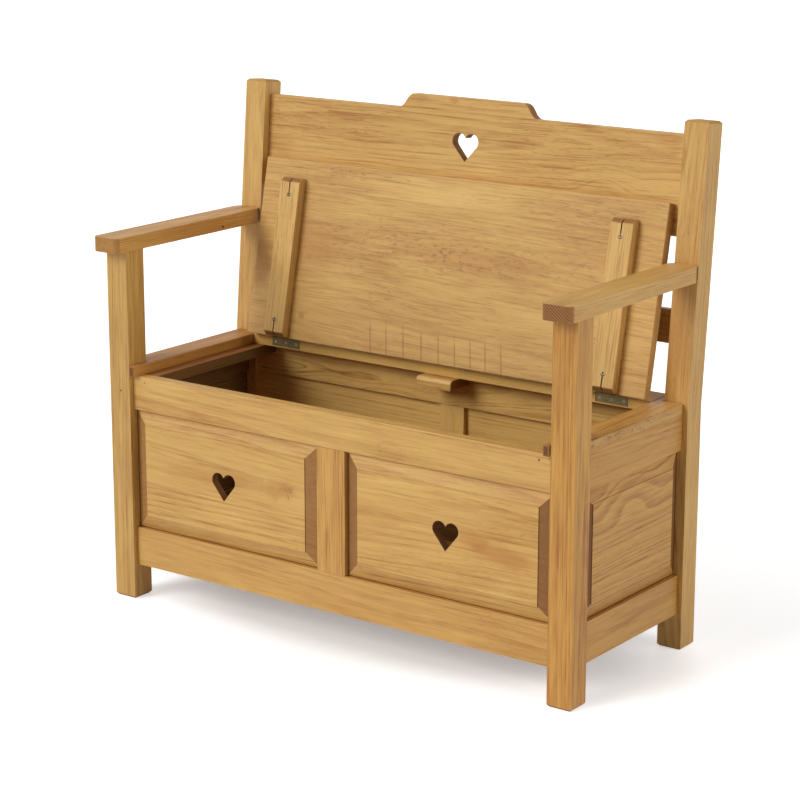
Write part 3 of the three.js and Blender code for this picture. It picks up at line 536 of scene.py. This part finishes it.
# Faces that meet below FLAT are one plane, and above ARRIS they meet in an edge that gets eased
FLAT = math.radians(0.5)
ARRIS = math.radians(15)
EASE_STEPS = 3
# Where two faces meet more sharply than this, the light breaks; a panel's bevels are nearly flat
SHARP = math.radians(35)
PANEL_SHARP = math.radians(14)
# Edges as near to the ironwork as this stay crisp, and so do those of the kerfs to the screws
NEAR_IRON = 2.5 * MM
KERF_HALF = 1.4 * MM
KERF_LONGEST = 30 * MM
# What lies this near to a plane belongs to it
FLUSH = 0.02 * MM
# The small step between a panel's raised field and its bevels
SHOULDER_WIDTH = 0.6 * MM
SHOULDER_DEPTH = 1.5 * MM


def cut_for_iron(edge, node):
    """Whether an edge belongs to a screw's hole, a hinge's recess or a saw kerf, which stay crisp."""
    middle = (edge.verts[0].co + edge.verts[1].co) / 2
    for name, (low, high) in IRON_BOXES.items():
        if all(low[i] - NEAR_IRON < middle[i] < high[i] + NEAR_IRON for i in range(3)):
            return True
        if "batten" in node and "batten_screw" in name and edge.calc_length() < KERF_LONGEST:
            if abs(middle.x - (low.x + high.x) / 2) < KERF_HALF:
                return True
    return False


def cut_shoulder(shape, outward):
    """Steps a panel's bevels down round its raised field, and returns the edges of that step."""
    plane = max(face.calc_center_median().dot(outward) for face in shape.faces)
    field = [
        face for face in shape.faces
        if face.normal.dot(outward) > 0.999 and face.calc_center_median().dot(outward) > plane - FLUSH
    ]
    corners = [vert.co.copy() for face in field for vert in face.verts]
    low = [min(corner[i] for corner in corners) for i in range(3)]
    high = [max(corner[i] for corner in corners) for i in range(3)]
    across = [i for i in range(3) if abs(outward[i]) < 0.5]
    ring = bmesh.ops.inset_region(shape, faces=field, thickness=SHOULDER_WIDTH, depth=0.0,
                                  use_boundary=True, use_even_offset=True)["faces"]
    rim = {
        vert for face in ring for vert in face.verts
        if any(vert.co[i] < low[i] + FLUSH or vert.co[i] > high[i] - FLUSH for i in across)
    }
    for vert in rim:
        vert.co -= outward * SHOULDER_DEPTH
    return {edge for face in ring if rim & set(face.verts) for edge in face.edges}


def finished_board(node, ease, outward=None):
    """A copy of a CAD board with its arrises eased to a radius in mm, standing for that node."""
    shape = bmesh.new()
    shape.from_mesh(frame["nodes"][node].data)
    mark = shape.faces.layers.float.new("eased")
    bmesh.ops.remove_doubles(shape, verts=shape.verts, dist=0.005 * MM)
    bmesh.ops.dissolve_limit(shape, angle_limit=FLAT, verts=shape.verts, edges=shape.edges)
    crisp = cut_shoulder(shape, Vector(outward)) if outward else set()
    shape.normal_update()
    arrises = [
        edge for edge in shape.edges
        if edge.is_manifold and edge.is_convex and edge.calc_face_angle() > ARRIS
        and not cut_for_iron(edge, node) and edge not in crisp
    ]
    eased = bmesh.ops.bevel(shape, geom=arrises, offset=ease * MM, offset_type="OFFSET",
                            segments=EASE_STEPS, profile=0.5, affect="EDGES", material=-1,
                            clamp_overlap=True)["faces"]
    for face in eased:
        face[mark] = 1.0
    mesh = bpy.data.meshes.new(node + "_finished")
    shape.to_mesh(mesh)
    shape.free()
    mesh.shade_smooth()
    mesh.set_sharp_from_angle(angle=PANEL_SHARP if "panel" in node else SHARP)
    piece = bpy.data.objects.new(node + "_finished", mesh)
    bpy.context.scene.collection.objects.link(piece)
    normals = piece.modifiers.new("flat faces stay flat", "WEIGHTED_NORMAL")
    normals.keep_sharp = True
    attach(piece, frame["nodes"][node]["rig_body"])
    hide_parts(node)
    return piece


def board(node, turn, heart, ease=1.2, slot="pine", outward=None, **look):
    """A finished board in its own wood. turn and heart say how the wood lies in it, as in pine."""
    piece = finished_board(node, ease, outward=outward)
    piece.data.materials.append(pine(node, turn, centre_of(node), heart, **look))


# How much of a panel's edge lies hidden in the grooves of its frame
TONGUE = 8.1 * MM


def groove_shade_and_grime(node, length_axis, end_bevel_shade=0.0):
    """Painted shade and grime along the rails' and posts' edges, where a panel enters its grooves,
    painted shade of strength end_bevel_shade over its whole end bevels, and painted shade on faces that
    look down."""
    low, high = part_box(node)

    def draw(tree, place, normal):
        off = add(tree, "ShaderNodeVectorMath", {0: place, 1: (low + high) / 2}, operation="SUBTRACT")
        off = add(tree, "ShaderNodeVectorMath", {0: off}, operation="ABSOLUTE")
        left = add(tree, "ShaderNodeVectorMath",
                   {0: (high - low) / 2 - Vector((TONGUE, TONGUE, TONGUE)), 1: off},
                   operation="SUBTRACT")
        parts = add(tree, "ShaderNodeSeparateXYZ", {0: left}).outputs
        near = add(tree, "ShaderNodeMath", {0: parts[length_axis], 1: parts["Z"]}, operation="MINIMUM")
        line = add(tree, "ShaderNodeMapRange", {"Value": near, "From Min": 0.6 * MM,
                                               "From Max": 2.8 * MM, "To Min": 0.85, "To Max": 0.0},
                   interpolation_type="SMOOTHSTEP")
        slope = add(tree, "ShaderNodeSeparateXYZ", {0: normal}).outputs[length_axis]
        slope = add(tree, "ShaderNodeMath", {0: slope}, operation="ABSOLUTE")
        bevel = add(tree, "ShaderNodeMapRange", {"Value": slope, "From Min": 0.15, "From Max": 0.3,
                                                "To Max": end_bevel_shade})
        ends = add(tree, "ShaderNodeMath", {0: line, 1: bevel}, operation="MAXIMUM")
        # Faces that look downwards are painted darker, as shade under them
        down = add(tree, "ShaderNodeSeparateXYZ", {0: normal}).outputs["Z"]
        foot = add(tree, "ShaderNodeMapRange", {"Value": down, "From Min": -0.3, "From Max": -0.12,
                                               "To Min": 0.14, "To Max": 0.0})
        return add(tree, "ShaderNodeMath", {0: ends, 1: foot}, operation="MAXIMUM")

    return draw


def kerf_and_side_shade(side):
    """The walls of the saw kerfs in a batten are painted dark, as shade in the narrow cuts. They run
    from each end of the batten to the screw there. The batten's sides are painted darker too, as shade."""
    low, high = IRON_BOXES[f"batten_screw_{side}_front"]
    middle = centre_of(f"lid_batten_{side}")
    screw = (low + high) / 2
    to_screw = (screw - middle).dot(LID_X @ Vector((0, -1, 0)))

    def draw(tree, place, normal):
        off = add(tree, "ShaderNodeVectorMath", {0: place, 1: middle}, operation="SUBTRACT")
        along = add(tree, "ShaderNodeVectorMath", {0: off, 1: LID_X @ Vector((0, 1, 0))},
                    operation="DOT_PRODUCT").outputs["Value"]
        along = add(tree, "ShaderNodeMath", {0: along}, operation="ABSOLUTE")
        beyond = add(tree, "ShaderNodeMath", {0: along, 1: abs(to_screw)}, operation="GREATER_THAN")
        across = add(tree, "ShaderNodeSeparateXYZ", {0: off}).outputs["X"]
        across = add(tree, "ShaderNodeMath", {0: across}, operation="ABSOLUTE")
        near = add(tree, "ShaderNodeMath", {0: across, 1: KERF_HALF}, operation="LESS_THAN")
        kerf = add(tree, "ShaderNodeMath", {0: near, 1: beyond}, operation="MULTIPLY")
        # The batten's sides are painted darker, as shade beside it
        sideways = add(tree, "ShaderNodeSeparateXYZ", {0: normal}).outputs["X"]
        sideways = add(tree, "ShaderNodeMath", {0: sideways}, operation="ABSOLUTE")
        flank_shade = add(tree, "ShaderNodeMapRange", {"Value": sideways, "From Min": 0.6, "From Max": 0.9,
                                                "To Max": 0.2})
        return add(tree, "ShaderNodeMath", {0: kerf, 1: flank_shade}, operation="MAXIMUM")

    return draw


def facing_front(tree, normal):
    """How squarely a surface faces the front: 1 head-on, 0 from the side, and less from behind."""
    return add(tree, "ShaderNodeVectorMath", {0: normal, 1: (0, -1, 0)},
               operation="DOT_PRODUCT").outputs["Value"]


def shaded_front_end(tree, place, normal):
    """The sawn front end of a seat strip, painted dark as shade."""
    front = facing_front(tree, normal)
    return add(tree, "ShaderNodeMapRange", {"Value": front, "From Min": 0.6, "From Max": 0.95,
                                           "To Max": 0.7})


def make_posts():
    board("front_post_left", UPRIGHT, (35, -55), ease=2.8, ring=8, depth=0.5, wander=12, clouds=0.6,
          shade="#f0eee8", dots=((2, -24, 61, 2.5),))
    board("front_post_right", UPRIGHT, (10, 40), ease=2.8, ring=7, depth=0.75, wander=4, clouds=0.7,
          lines=0.35, shade="#eedcb6")
    board("rear_post_left", LEANING, (60, -30), ease=1.8, ring=6, depth=0.4, wander=8, end=0.2)
    board("rear_post_right", LEANING, (60, 30), ease=1.8, ring=6, depth=0.5, wander=8, end=0.2,
          stains=((-10, -40, 60, 420, 70, 0.45),), mottles=((-10, -30, 180, 160, 60, 0.25),
                                                            (-10, -40, -20, 200, 60, 0.3)))


# The spacing of a wave texture's lines at a scale of 1, in metres
WAVE_SPACING = 0.314
SAW_STEP = 4.4 * MM
SAW_SLANT = math.radians(-40)


def saw_marks(tree, place, normal):
    """Fine slanting lines that a saw left on the arm's front end; real ones stand 1 mm apart, and these
    4.4 mm, so that they show."""
    turned = add(tree, "ShaderNodeMapping", {"Vector": place, "Rotation": (0, SAW_SLANT, 0)})
    lines = add(tree, "ShaderNodeTexWave", {"Vector": turned, "Scale": WAVE_SPACING / SAW_STEP,
                                           "Distortion": 1.2, "Detail": 1.0}, bands_direction="Z")
    dark = add(tree, "ShaderNodeMapRange", {"Value": lines.outputs["Fac"], "From Min": 0.35,
                                           "From Max": 0.75})
    there = add(tree, "ShaderNodeMapRange", {"Value": facing_front(tree, normal), "From Min": 0.6,
                                            "From Max": 0.95})
    return add(tree, "ShaderNodeMath", {0: dark, 1: there}, operation="MULTIPLY")


def make_arms():
    board("armrest_left", ALONG_Y, (12, -60), ease=3.5, ring=5, depth=0.5, shade="#fbf2ec",
          end=0.5, dots=((30, 91, -7, 4),), stains=((30, 20, 0, 260, 60, 0.45),),
          pales=((30, 185, 0, 40, 20, 0.4),))
    board("armrest_right", ALONG_Y, (-12, -60), ease=3.5, ring=5, depth=0.5, end=0.75, extra=saw_marks)


def make_box_frame():
    board("front_bottom_rail", ALONG_X, (70, -25), ease=1.6, ring=7, depth=0.35, wander=14,
          lines=0.14, shade="#f7f2ea", stains=((-20, 0, -22, 260, 30, 0.35),))
    board("front_top_rail", ALONG_X, (75, -30), ease=1.6, ring=9, depth=0.55, wander=10, lines=0.16,
          stains=((-315, 0, -18, 60, 30, 0.6), (49, 0, -31, 60, 16, 0.4)),
          pales=((250, 0, 10, 420, 20, 0.3), (-100, 0, 20, 500, 10, 0.2)),
          dots=((-442, -10, 22, 2), (442, -10, 21, 3)))
    board("front_muntin", UPRIGHT, (40, 10), ease=0.8, ring=5, depth=0.8, wander=6, lines=0.4,
          clouds=0.5, shade="#f3e8d6")
    # Its inner face is painted darker, as shade inside the box
    board("back_bottom_rail", ALONG_X, (-60, 20), ease=1.2, dull_side=(0, -1, 0))
    # The back top rail and the back muntin are painted paler, as painted light inside the box
    board("back_top_rail", ALONG_X, (-20, 8), ease=1.2, ring=8, depth=1.0, wander=26, clouds=0.4,
          lines=0.2, pale=0.25, knots=((-282, -11, -36, 34, 0.0), (-150, -11, -40, 34, 0.0)))
    board("back_muntin", UPRIGHT, (-50, 10), ease=0.8, pale=0.3)
    for side in SIDES:
        way = WAYS[side]
        inner = (-way, 0, 0)
        # Their inner faces are painted darker, as shade inside the box
        board(f"side_bottom_rail_{side}", ALONG_Y, (70 * way, 20), ease=1.4, ring=9, depth=0.7,
              wander=10, clouds=0.3, shade="#f0e4ce", dull_side=inner)
        board(f"side_top_rail_{side}", ALONG_Y, (60 * way, -15), ease=1.2, ring=7, depth=0.6,
              clouds=0.3, shade="#eee0c4", dull_side=inner)


def make_panels():
    # Each panel's extra paints shade and grime along its grooves, shade under it, and shade on some end
    # bevels
    board("front_panel_left", ALONG_X, (80, 30), ease=0.8, ring=9, depth=0.5, wander=14, end=0.9,
          outward=(0, -1, 0), cut_out=(1, 0, 2), knots=((152, -8, 22, 20, 0.3),),
          stains=((118, -8, 14, 60, 44, 0.45), (150, -8, 20, 50, 50, 0.25),
                  (-60, -8, 15, 200, 50, 0.25)),
          mottles=((152, -8, 22, 44, 44, 0.5),), dots=((160, -8, 20, 1.6), (154, -8, 7, 1.5)),
          extra=groove_shade_and_grime("front_panel_left", "X"))
    board("front_panel_right", ALONG_X, (70, 50), ease=0.8, ring=12, depth=0.5, wander=18, end=1.0,
          outward=(0, -1, 0), cut_out=(0, 0, 1),
          stains=((62, -8, 4, 90, 36, 0.6), (120, -8, -14, 170, 46, 0.7),
                  (-150, -8, 10, 160, 50, 0.3)), pales=((-60, -8, 75, 360, 30, 0.25),),
          extra=groove_shade_and_grime("front_panel_right", "X", end_bevel_shade=0.3))
    for side in SIDES:
        way = WAYS[side]
        # A side panel's inner face is painted darker, as shade inside the box
        board(f"side_panel_{side}", ALONG_Y, (35 * way, 85), ease=0.8, ring=9, depth=0.85, wander=20,
              lines=0.3, clouds=0.25, shade="#f0e6d0", end=1.0, dull_side=(-way, 0, 0),
              outward=(way, 0, 0), knots=((0, -10, 67, 34, 0.0),),
              extra=groove_shade_and_grime(f"side_panel_{side}", "Y", end_bevel_shade=0.7))
        # A back panel is painted paler, as painted light inside the box
        board(f"back_panel_{side}", ALONG_X, (70, 20 * way), ease=0.4, slot="pale_pine", ring=9,
              pale=0.3)


def make_back():
    board("crest_rail", RAKED_X, (60, 35), ease=2.4, ring=9, depth=0.5, wander=14, lines=0.4,
          dashes=0.4, clouds=0.3, pale=0.04, knots=((304, -11, -18, 26, 0.0),),
          stains=((-200, 0, -34, 300, 26, 0.5), (-440, -2, -20, 120, 60, 0.3),
                  (-110, 0, 98, 60, 20, 0.5), (-30, 0, 98, 30, 14, 0.6), (166, 0, -2, 22, 10, 0.7),
                  (440, 0, 60, 70, 60, 0.3)),
          mottles=((-350, 0, -10, 200, 40, 0.15), (-60, 0, 0, 300, 60, 0.12),
                   (440, 0, 65, 50, 60, 0.2)))
    # The mid rail is painted darker, as shade behind the open lid
    board("back_mid_rail", RAKED_X, (60, 10), ease=1.8, ring=6, depth=0.5, shade="#d8c5aa")


def make_seat():
    board("seat_strip_left", ALONG_Y, (20, -60), ease=2.0, ring=7, depth=0.6, shade="#e6d2ba",
          end=1.0, stains=((-25, 120, 0, 240, 30, 0.4),), extra=shaded_front_end)
    board("seat_strip_right", ALONG_Y, (20, -60), ease=2.0, ring=7, depth=0.8, shade="#e6dac6",
          end=1.0, pale=0.08, lines=0.7, dashes=0.9,
          mottles=((27, -20, 4, 330, 36, 0.95), (20, -120, 10, 220, 40, 0.6)), extra=shaded_front_end)
    for side in SIDES:
        way = WAYS[side]
        # A bearer is painted darker, as shade under its seat strip
        board(f"seat_bearer_{side}", ALONG_Y, (20 * way, 50), ease=1.0, ring=6, shade="#c6a688",
              dull_side=(-way, 0, 0))
    # The hinge strip is painted paler, as painted light where the lid's foot shades it
    board("hinge_strip", ALONG_X, (10, -60), ease=1.2, ring=8, depth=0.5, pale=0.6, gloss=0.2)
    board("lid_rest_block", ALONG_X, (20, -50), ease=1.6, ring=5, depth=0.9, clouds=0.6, mottle=0.2,
          pale=0.15, end=1.0)


def make_box_bottom():
    for place in ("front", "back"):
        board(f"bottom_cleat_{place}", ALONG_X, (30, 40), ease=0.8)
    # The bottom board is painted darker, as shade inside the box
    board("bottom_board", ALONG_X, (20, -80), ease=0.6, slot="pale_pine", ring=8, shade="#b8a48c")


# The middle of the open lid's hinged edge, on its underside
LID_FOOT = Vector((0, 113.3, 470.6)) * MM
# The planer's marks: their spacing, slant, how far they reach sideways and up the lid, and their width
CHATTER_STEP = 37.6 * MM
CHATTER_SLANT_SHARE = 0.155
CHATTER_REACH = 172 * MM
CHATTER_HEIGHT = 62 * MM
CHATTER_FADE = 30 * MM
CHATTER_RAGGED = 50 * MM
CHATTER_PATCH = 18 * MM
CHATTER_WIDTH = 2.4 * MM
CHATTER_DARK = 0.45
# Where the board slipped under the rollers, how far along that shows, and by how much it slipped
SLIP_AT = 20 * MM
SLIP_REACH = 110 * MM
SLIP = 9 * MM


def chatter_marks(tree, place, normal):
    """Nine thin dark lines that the planer's rollers pressed across the grain, near the hinged edge."""
    local = add(tree, "ShaderNodeMapping", {"Vector": place, "Location": LID_FOOT,
                                           "Rotation": LID_X.to_euler()}, vector_type="TEXTURE")
    parts = add(tree, "ShaderNodeSeparateXYZ", {0: local}).outputs
    up = add(tree, "ShaderNodeMath", {0: parts["Y"], 1: -1.0}, operation="MULTIPLY")
    slanted = add(tree, "ShaderNodeMath", {0: up, 1: CHATTER_SLANT_SHARE, 2: parts["X"]},
                  operation="MULTIPLY_ADD")
    off_middle = add(tree, "ShaderNodeMath", {0: slanted, 1: -SLIP_AT}, operation="ADD")
    off_share = add(tree, "ShaderNodeMath", {0: off_middle, 1: SLIP_REACH}, operation="DIVIDE")
    off_square = add(tree, "ShaderNodeMath", {0: off_share, 1: off_share}, operation="MULTIPLY")
    slip = add(tree, "ShaderNodeMapRange", {"Value": off_square, "To Min": -SLIP, "To Max": 0.0})
    moved = add(tree, "ShaderNodeMath", {0: slanted, 1: slip}, operation="ADD")
    turns = add(tree, "ShaderNodeMath", {0: moved, 1: CHATTER_STEP}, operation="DIVIDE")
    nearest = add(tree, "ShaderNodeMath", {0: turns}, operation="ROUND")
    away = add(tree, "ShaderNodeMath", {0: turns, 1: nearest}, operation="SUBTRACT")
    away = add(tree, "ShaderNodeMath", {0: away}, operation="ABSOLUTE")
    on_line = add(tree, "ShaderNodeMapRange",
                  {"Value": away, "From Min": 0.3 * CHATTER_WIDTH / CHATTER_STEP,
                   "From Max": CHATTER_WIDTH / CHATTER_STEP, "To Min": 1.0, "To Max": 0.0})
    reach = add(tree, "ShaderNodeMath", {0: slanted, 1: CHATTER_REACH}, operation="DIVIDE")
    reach = add(tree, "ShaderNodeMath", {0: reach}, operation="ABSOLUTE")
    among = add(tree, "ShaderNodeMath", {0: reach, 1: 1.0}, operation="LESS_THAN")
    patchy = add(tree, "ShaderNodeTexNoise", {"Vector": local, "Scale": 1 / CHATTER_PATCH, "Detail": 1.0})
    height = add(tree, "ShaderNodeMath", {0: patchy.outputs[0], 1: CHATTER_RAGGED, 2: up},
                 operation="MULTIPLY_ADD")
    lower = add(tree, "ShaderNodeMapRange", {"Value": height, "From Min": CHATTER_HEIGHT,
                                            "From Max": CHATTER_HEIGHT + CHATTER_FADE,
                                            "To Min": CHATTER_DARK, "To Max": 0.0})
    shown = add(tree, "ShaderNodeMath", {0: on_line, 1: lower}, operation="MULTIPLY")
    there = add(tree, "ShaderNodeMath", {0: facing_front(tree, normal), 1: 0.9},
                operation="GREATER_THAN")
    both = add(tree, "ShaderNodeMath", {0: among, 1: there}, operation="MULTIPLY")
    return add(tree, "ShaderNodeMath", {0: shown, 1: both}, operation="MULTIPLY")


def up_the_lid(x, up, *rest):
    """A spot on the open lid's underside, up being the distance from its hinged edge, all in mm."""
    middle = centre_of("lid_board")
    place = LID_FOOT + LID_X @ Vector((x, -up, 0)) * MM
    return (*((place - middle) / MM), *rest)


def make_lid():
    board("lid_board", LID_X, (60, -80), ease=1.6, ring=12, depth=0.3, wander=26, lines=0.25,
          dashes=0.4, clouds=0.45, end=0.45, extra=chatter_marks,
          stains=(up_the_lid(-257, 340, 110, 22, 0.5), up_the_lid(-330, 190, 200, 120, 0.5),
                  up_the_lid(60, 205, 420, 60, 0.45), up_the_lid(-440, 150, 60, 160, 0.7),
                  up_the_lid(-326, 50, 20, 16, 0.6), up_the_lid(-150, 10, 90, 14, 0.5),
                  up_the_lid(300, 230, 260, 60, 0.3)),
          mottles=(up_the_lid(-257, 340, 130, 26, 0.9), up_the_lid(-322, 50, 26, 24, 1.2),
                   up_the_lid(-120, 215, 520, 110, 0.4), up_the_lid(60, 200, 460, 90, 0.4),
                   up_the_lid(-250, 160, 260, 60, 0.3), up_the_lid(300, 220, 300, 90, 0.3)),
          pales=(up_the_lid(-60, 315, 420, 60, 0.25), up_the_lid(200, 110, 200, 60, 0.15)))
    for side in SIDES:
        way = WAYS[side]
        board(f"lid_batten_{side}", LID_Y, (50 * way, 30), ease=1.4, slot="pale_pine", ring=5,
              depth=0.35, lines=0.45, clouds=0.4, end=0.85, pale=0.3 if side == "left" else 0.1,
              extra=kerf_and_side_shade(side))


# Which way each kind of screw points
SCREW_AXES = {
    "batten": LID_X @ Vector((0, 0, 1)),
    "fixed": Vector((0, 1, 0)),
    "lid": LID_X @ Vector((0, 1, 0)),
    "arm": Vector((0, math.cos(BACK_RAKE), -math.sin(BACK_RAKE))),
}


def make_ironwork():
    bronzed = make_bronzed_steel()
    for name in IRON_BOXES:
        node = frame["nodes"][name]
        node.data.materials.clear()
        kind = name.split("_")[0]
        if "screw" not in name:
            node.data.materials.append(bronzed)
            continue
        # Each screw head gets a painted highlight and painted shade in its cross recess
        if kind in ("fixed", "lid"):
            steel = make_screw_steel(name, SCREW_AXES[kind], SMALL_HIGHLIGHT, SMALL_RECESS_SHADE, "#d8cfae")
        else:
            colour = "#7c6838" if "left" in name else "#d2b285"
            steel = make_screw_steel(name, SCREW_AXES[kind], HEAD_HIGHLIGHT, RECESS_SHADE, colour)
        node.data.materials.append(steel)


# Studio: a white floor without an edge, a broad lamp from the front, a weaker one high on the left
# and one low on the right, and a faint even fill

FLOOR_SIZE = 60.0
FLOOR_COLOUR = "#fafafa"
# How much the floor is lifted to white: less under the bench, so that its shadow stays deep there.
# The change runs between these shares of an ellipse that goes round the bench's feet
LIFT_UNDER = 0.28
LIFT_AROUND = 0.6
LIFT_ELLIPSE = (0.53, 0.25, 1)
LIFT_FROM_SHARE = 0.7
LIFT_TO_SHARE = 1.3
FILL = 0.14
LAMP_SOFTNESS = math.radians(30)
# Each lamp's strength, and the angles that it stands at: round from the front to the right, and up
LAMPS = {
    "front lamp": (1.75, math.radians(-25), math.radians(30)),
    "high left lamp": (0.45, math.radians(-45), math.radians(60)),
    "right lamp": (1.0, math.radians(98), math.radians(22)),
}


def seen_rays(tree):
    """One where a ray comes from the camera, or from a gloss or glass that shows the background."""
    path = add(tree, "ShaderNodeLightPath").outputs
    shiny = add(tree, "ShaderNodeMath", {0: path["Is Glossy Ray"], 1: path["Is Transmission Ray"]},
                operation="MAXIMUM")
    return add(tree, "ShaderNodeMath", {0: path["Is Camera Ray"], 1: shiny}, operation="MAXIMUM")


def make_floor():
    shape = bmesh.new()
    bmesh.ops.create_grid(shape, x_segments=1, y_segments=1, size=FLOOR_SIZE / 2)
    mesh = bpy.data.meshes.new("floor")
    shape.to_mesh(mesh)
    shape.free()
    floor = bpy.data.objects.new("floor", mesh)
    bpy.context.scene.collection.objects.link(floor)
    material, tree = blank_material("white_studio_floor")
    place = add(tree, "ShaderNodeTexCoord").outputs["Object"]
    shares = add(tree, "ShaderNodeVectorMath", {0: place, 1: LIFT_ELLIPSE}, operation="DIVIDE")
    far = add(tree, "ShaderNodeVectorMath", {0: shares}, operation="LENGTH").outputs["Value"]
    white = add(tree, "ShaderNodeMapRange", {"Value": far, "From Min": LIFT_FROM_SHARE,
                                            "From Max": LIFT_TO_SHARE, "To Min": LIFT_UNDER,
                                            "To Max": LIFT_AROUND},
                interpolation_type="SMOOTHSTEP")
    lift = add(tree, "ShaderNodeMath", {0: seen_rays(tree), 1: white}, operation="MULTIPLY")
    surface = add(tree, "ShaderNodeBsdfPrincipled",
                  {"Base Color": linear(FLOOR_COLOUR), "Roughness": 0.5,
                   "Emission Color": linear("#ffffff"), "Emission Strength": lift})
    add(tree, "ShaderNodeOutputMaterial", {"Surface": surface})
    mesh.materials.append(material)


def make_light():
    for name, (power, around, up) in LAMPS.items():
        lamp = bpy.data.lights.new(name, "SUN")
        lamp.energy = power
        lamp.angle = LAMP_SOFTNESS
        holder = bpy.data.objects.new(name, lamp)
        way = Vector((math.sin(around) * math.cos(up), -math.cos(around) * math.cos(up), math.sin(up)))
        holder.rotation_euler = way.to_track_quat("Z", "Y").to_euler()
        bpy.context.scene.collection.objects.link(holder)
    world = bpy.data.worlds.new("studio")
    world.use_nodes = True
    tree = world.node_tree
    tree.nodes.clear()
    strength = add(tree, "ShaderNodeMapRange", {"Value": seen_rays(tree), "To Min": FILL, "To Max": 1.0})
    sky = add(tree, "ShaderNodeBackground", {"Color": linear("#ffffff"), "Strength": strength})
    add(tree, "ShaderNodeOutputWorld", {"Surface": sky})
    bpy.context.scene.world = world


make_camera()
pine_group = build_pine_group()
make_posts()
make_arms()
make_box_frame()
make_panels()
make_back()
make_seat()
make_box_bottom()
make_lid()
make_ironwork()
make_floor()
make_light()

bpy.context.scene.view_settings.view_transform = "Standard"
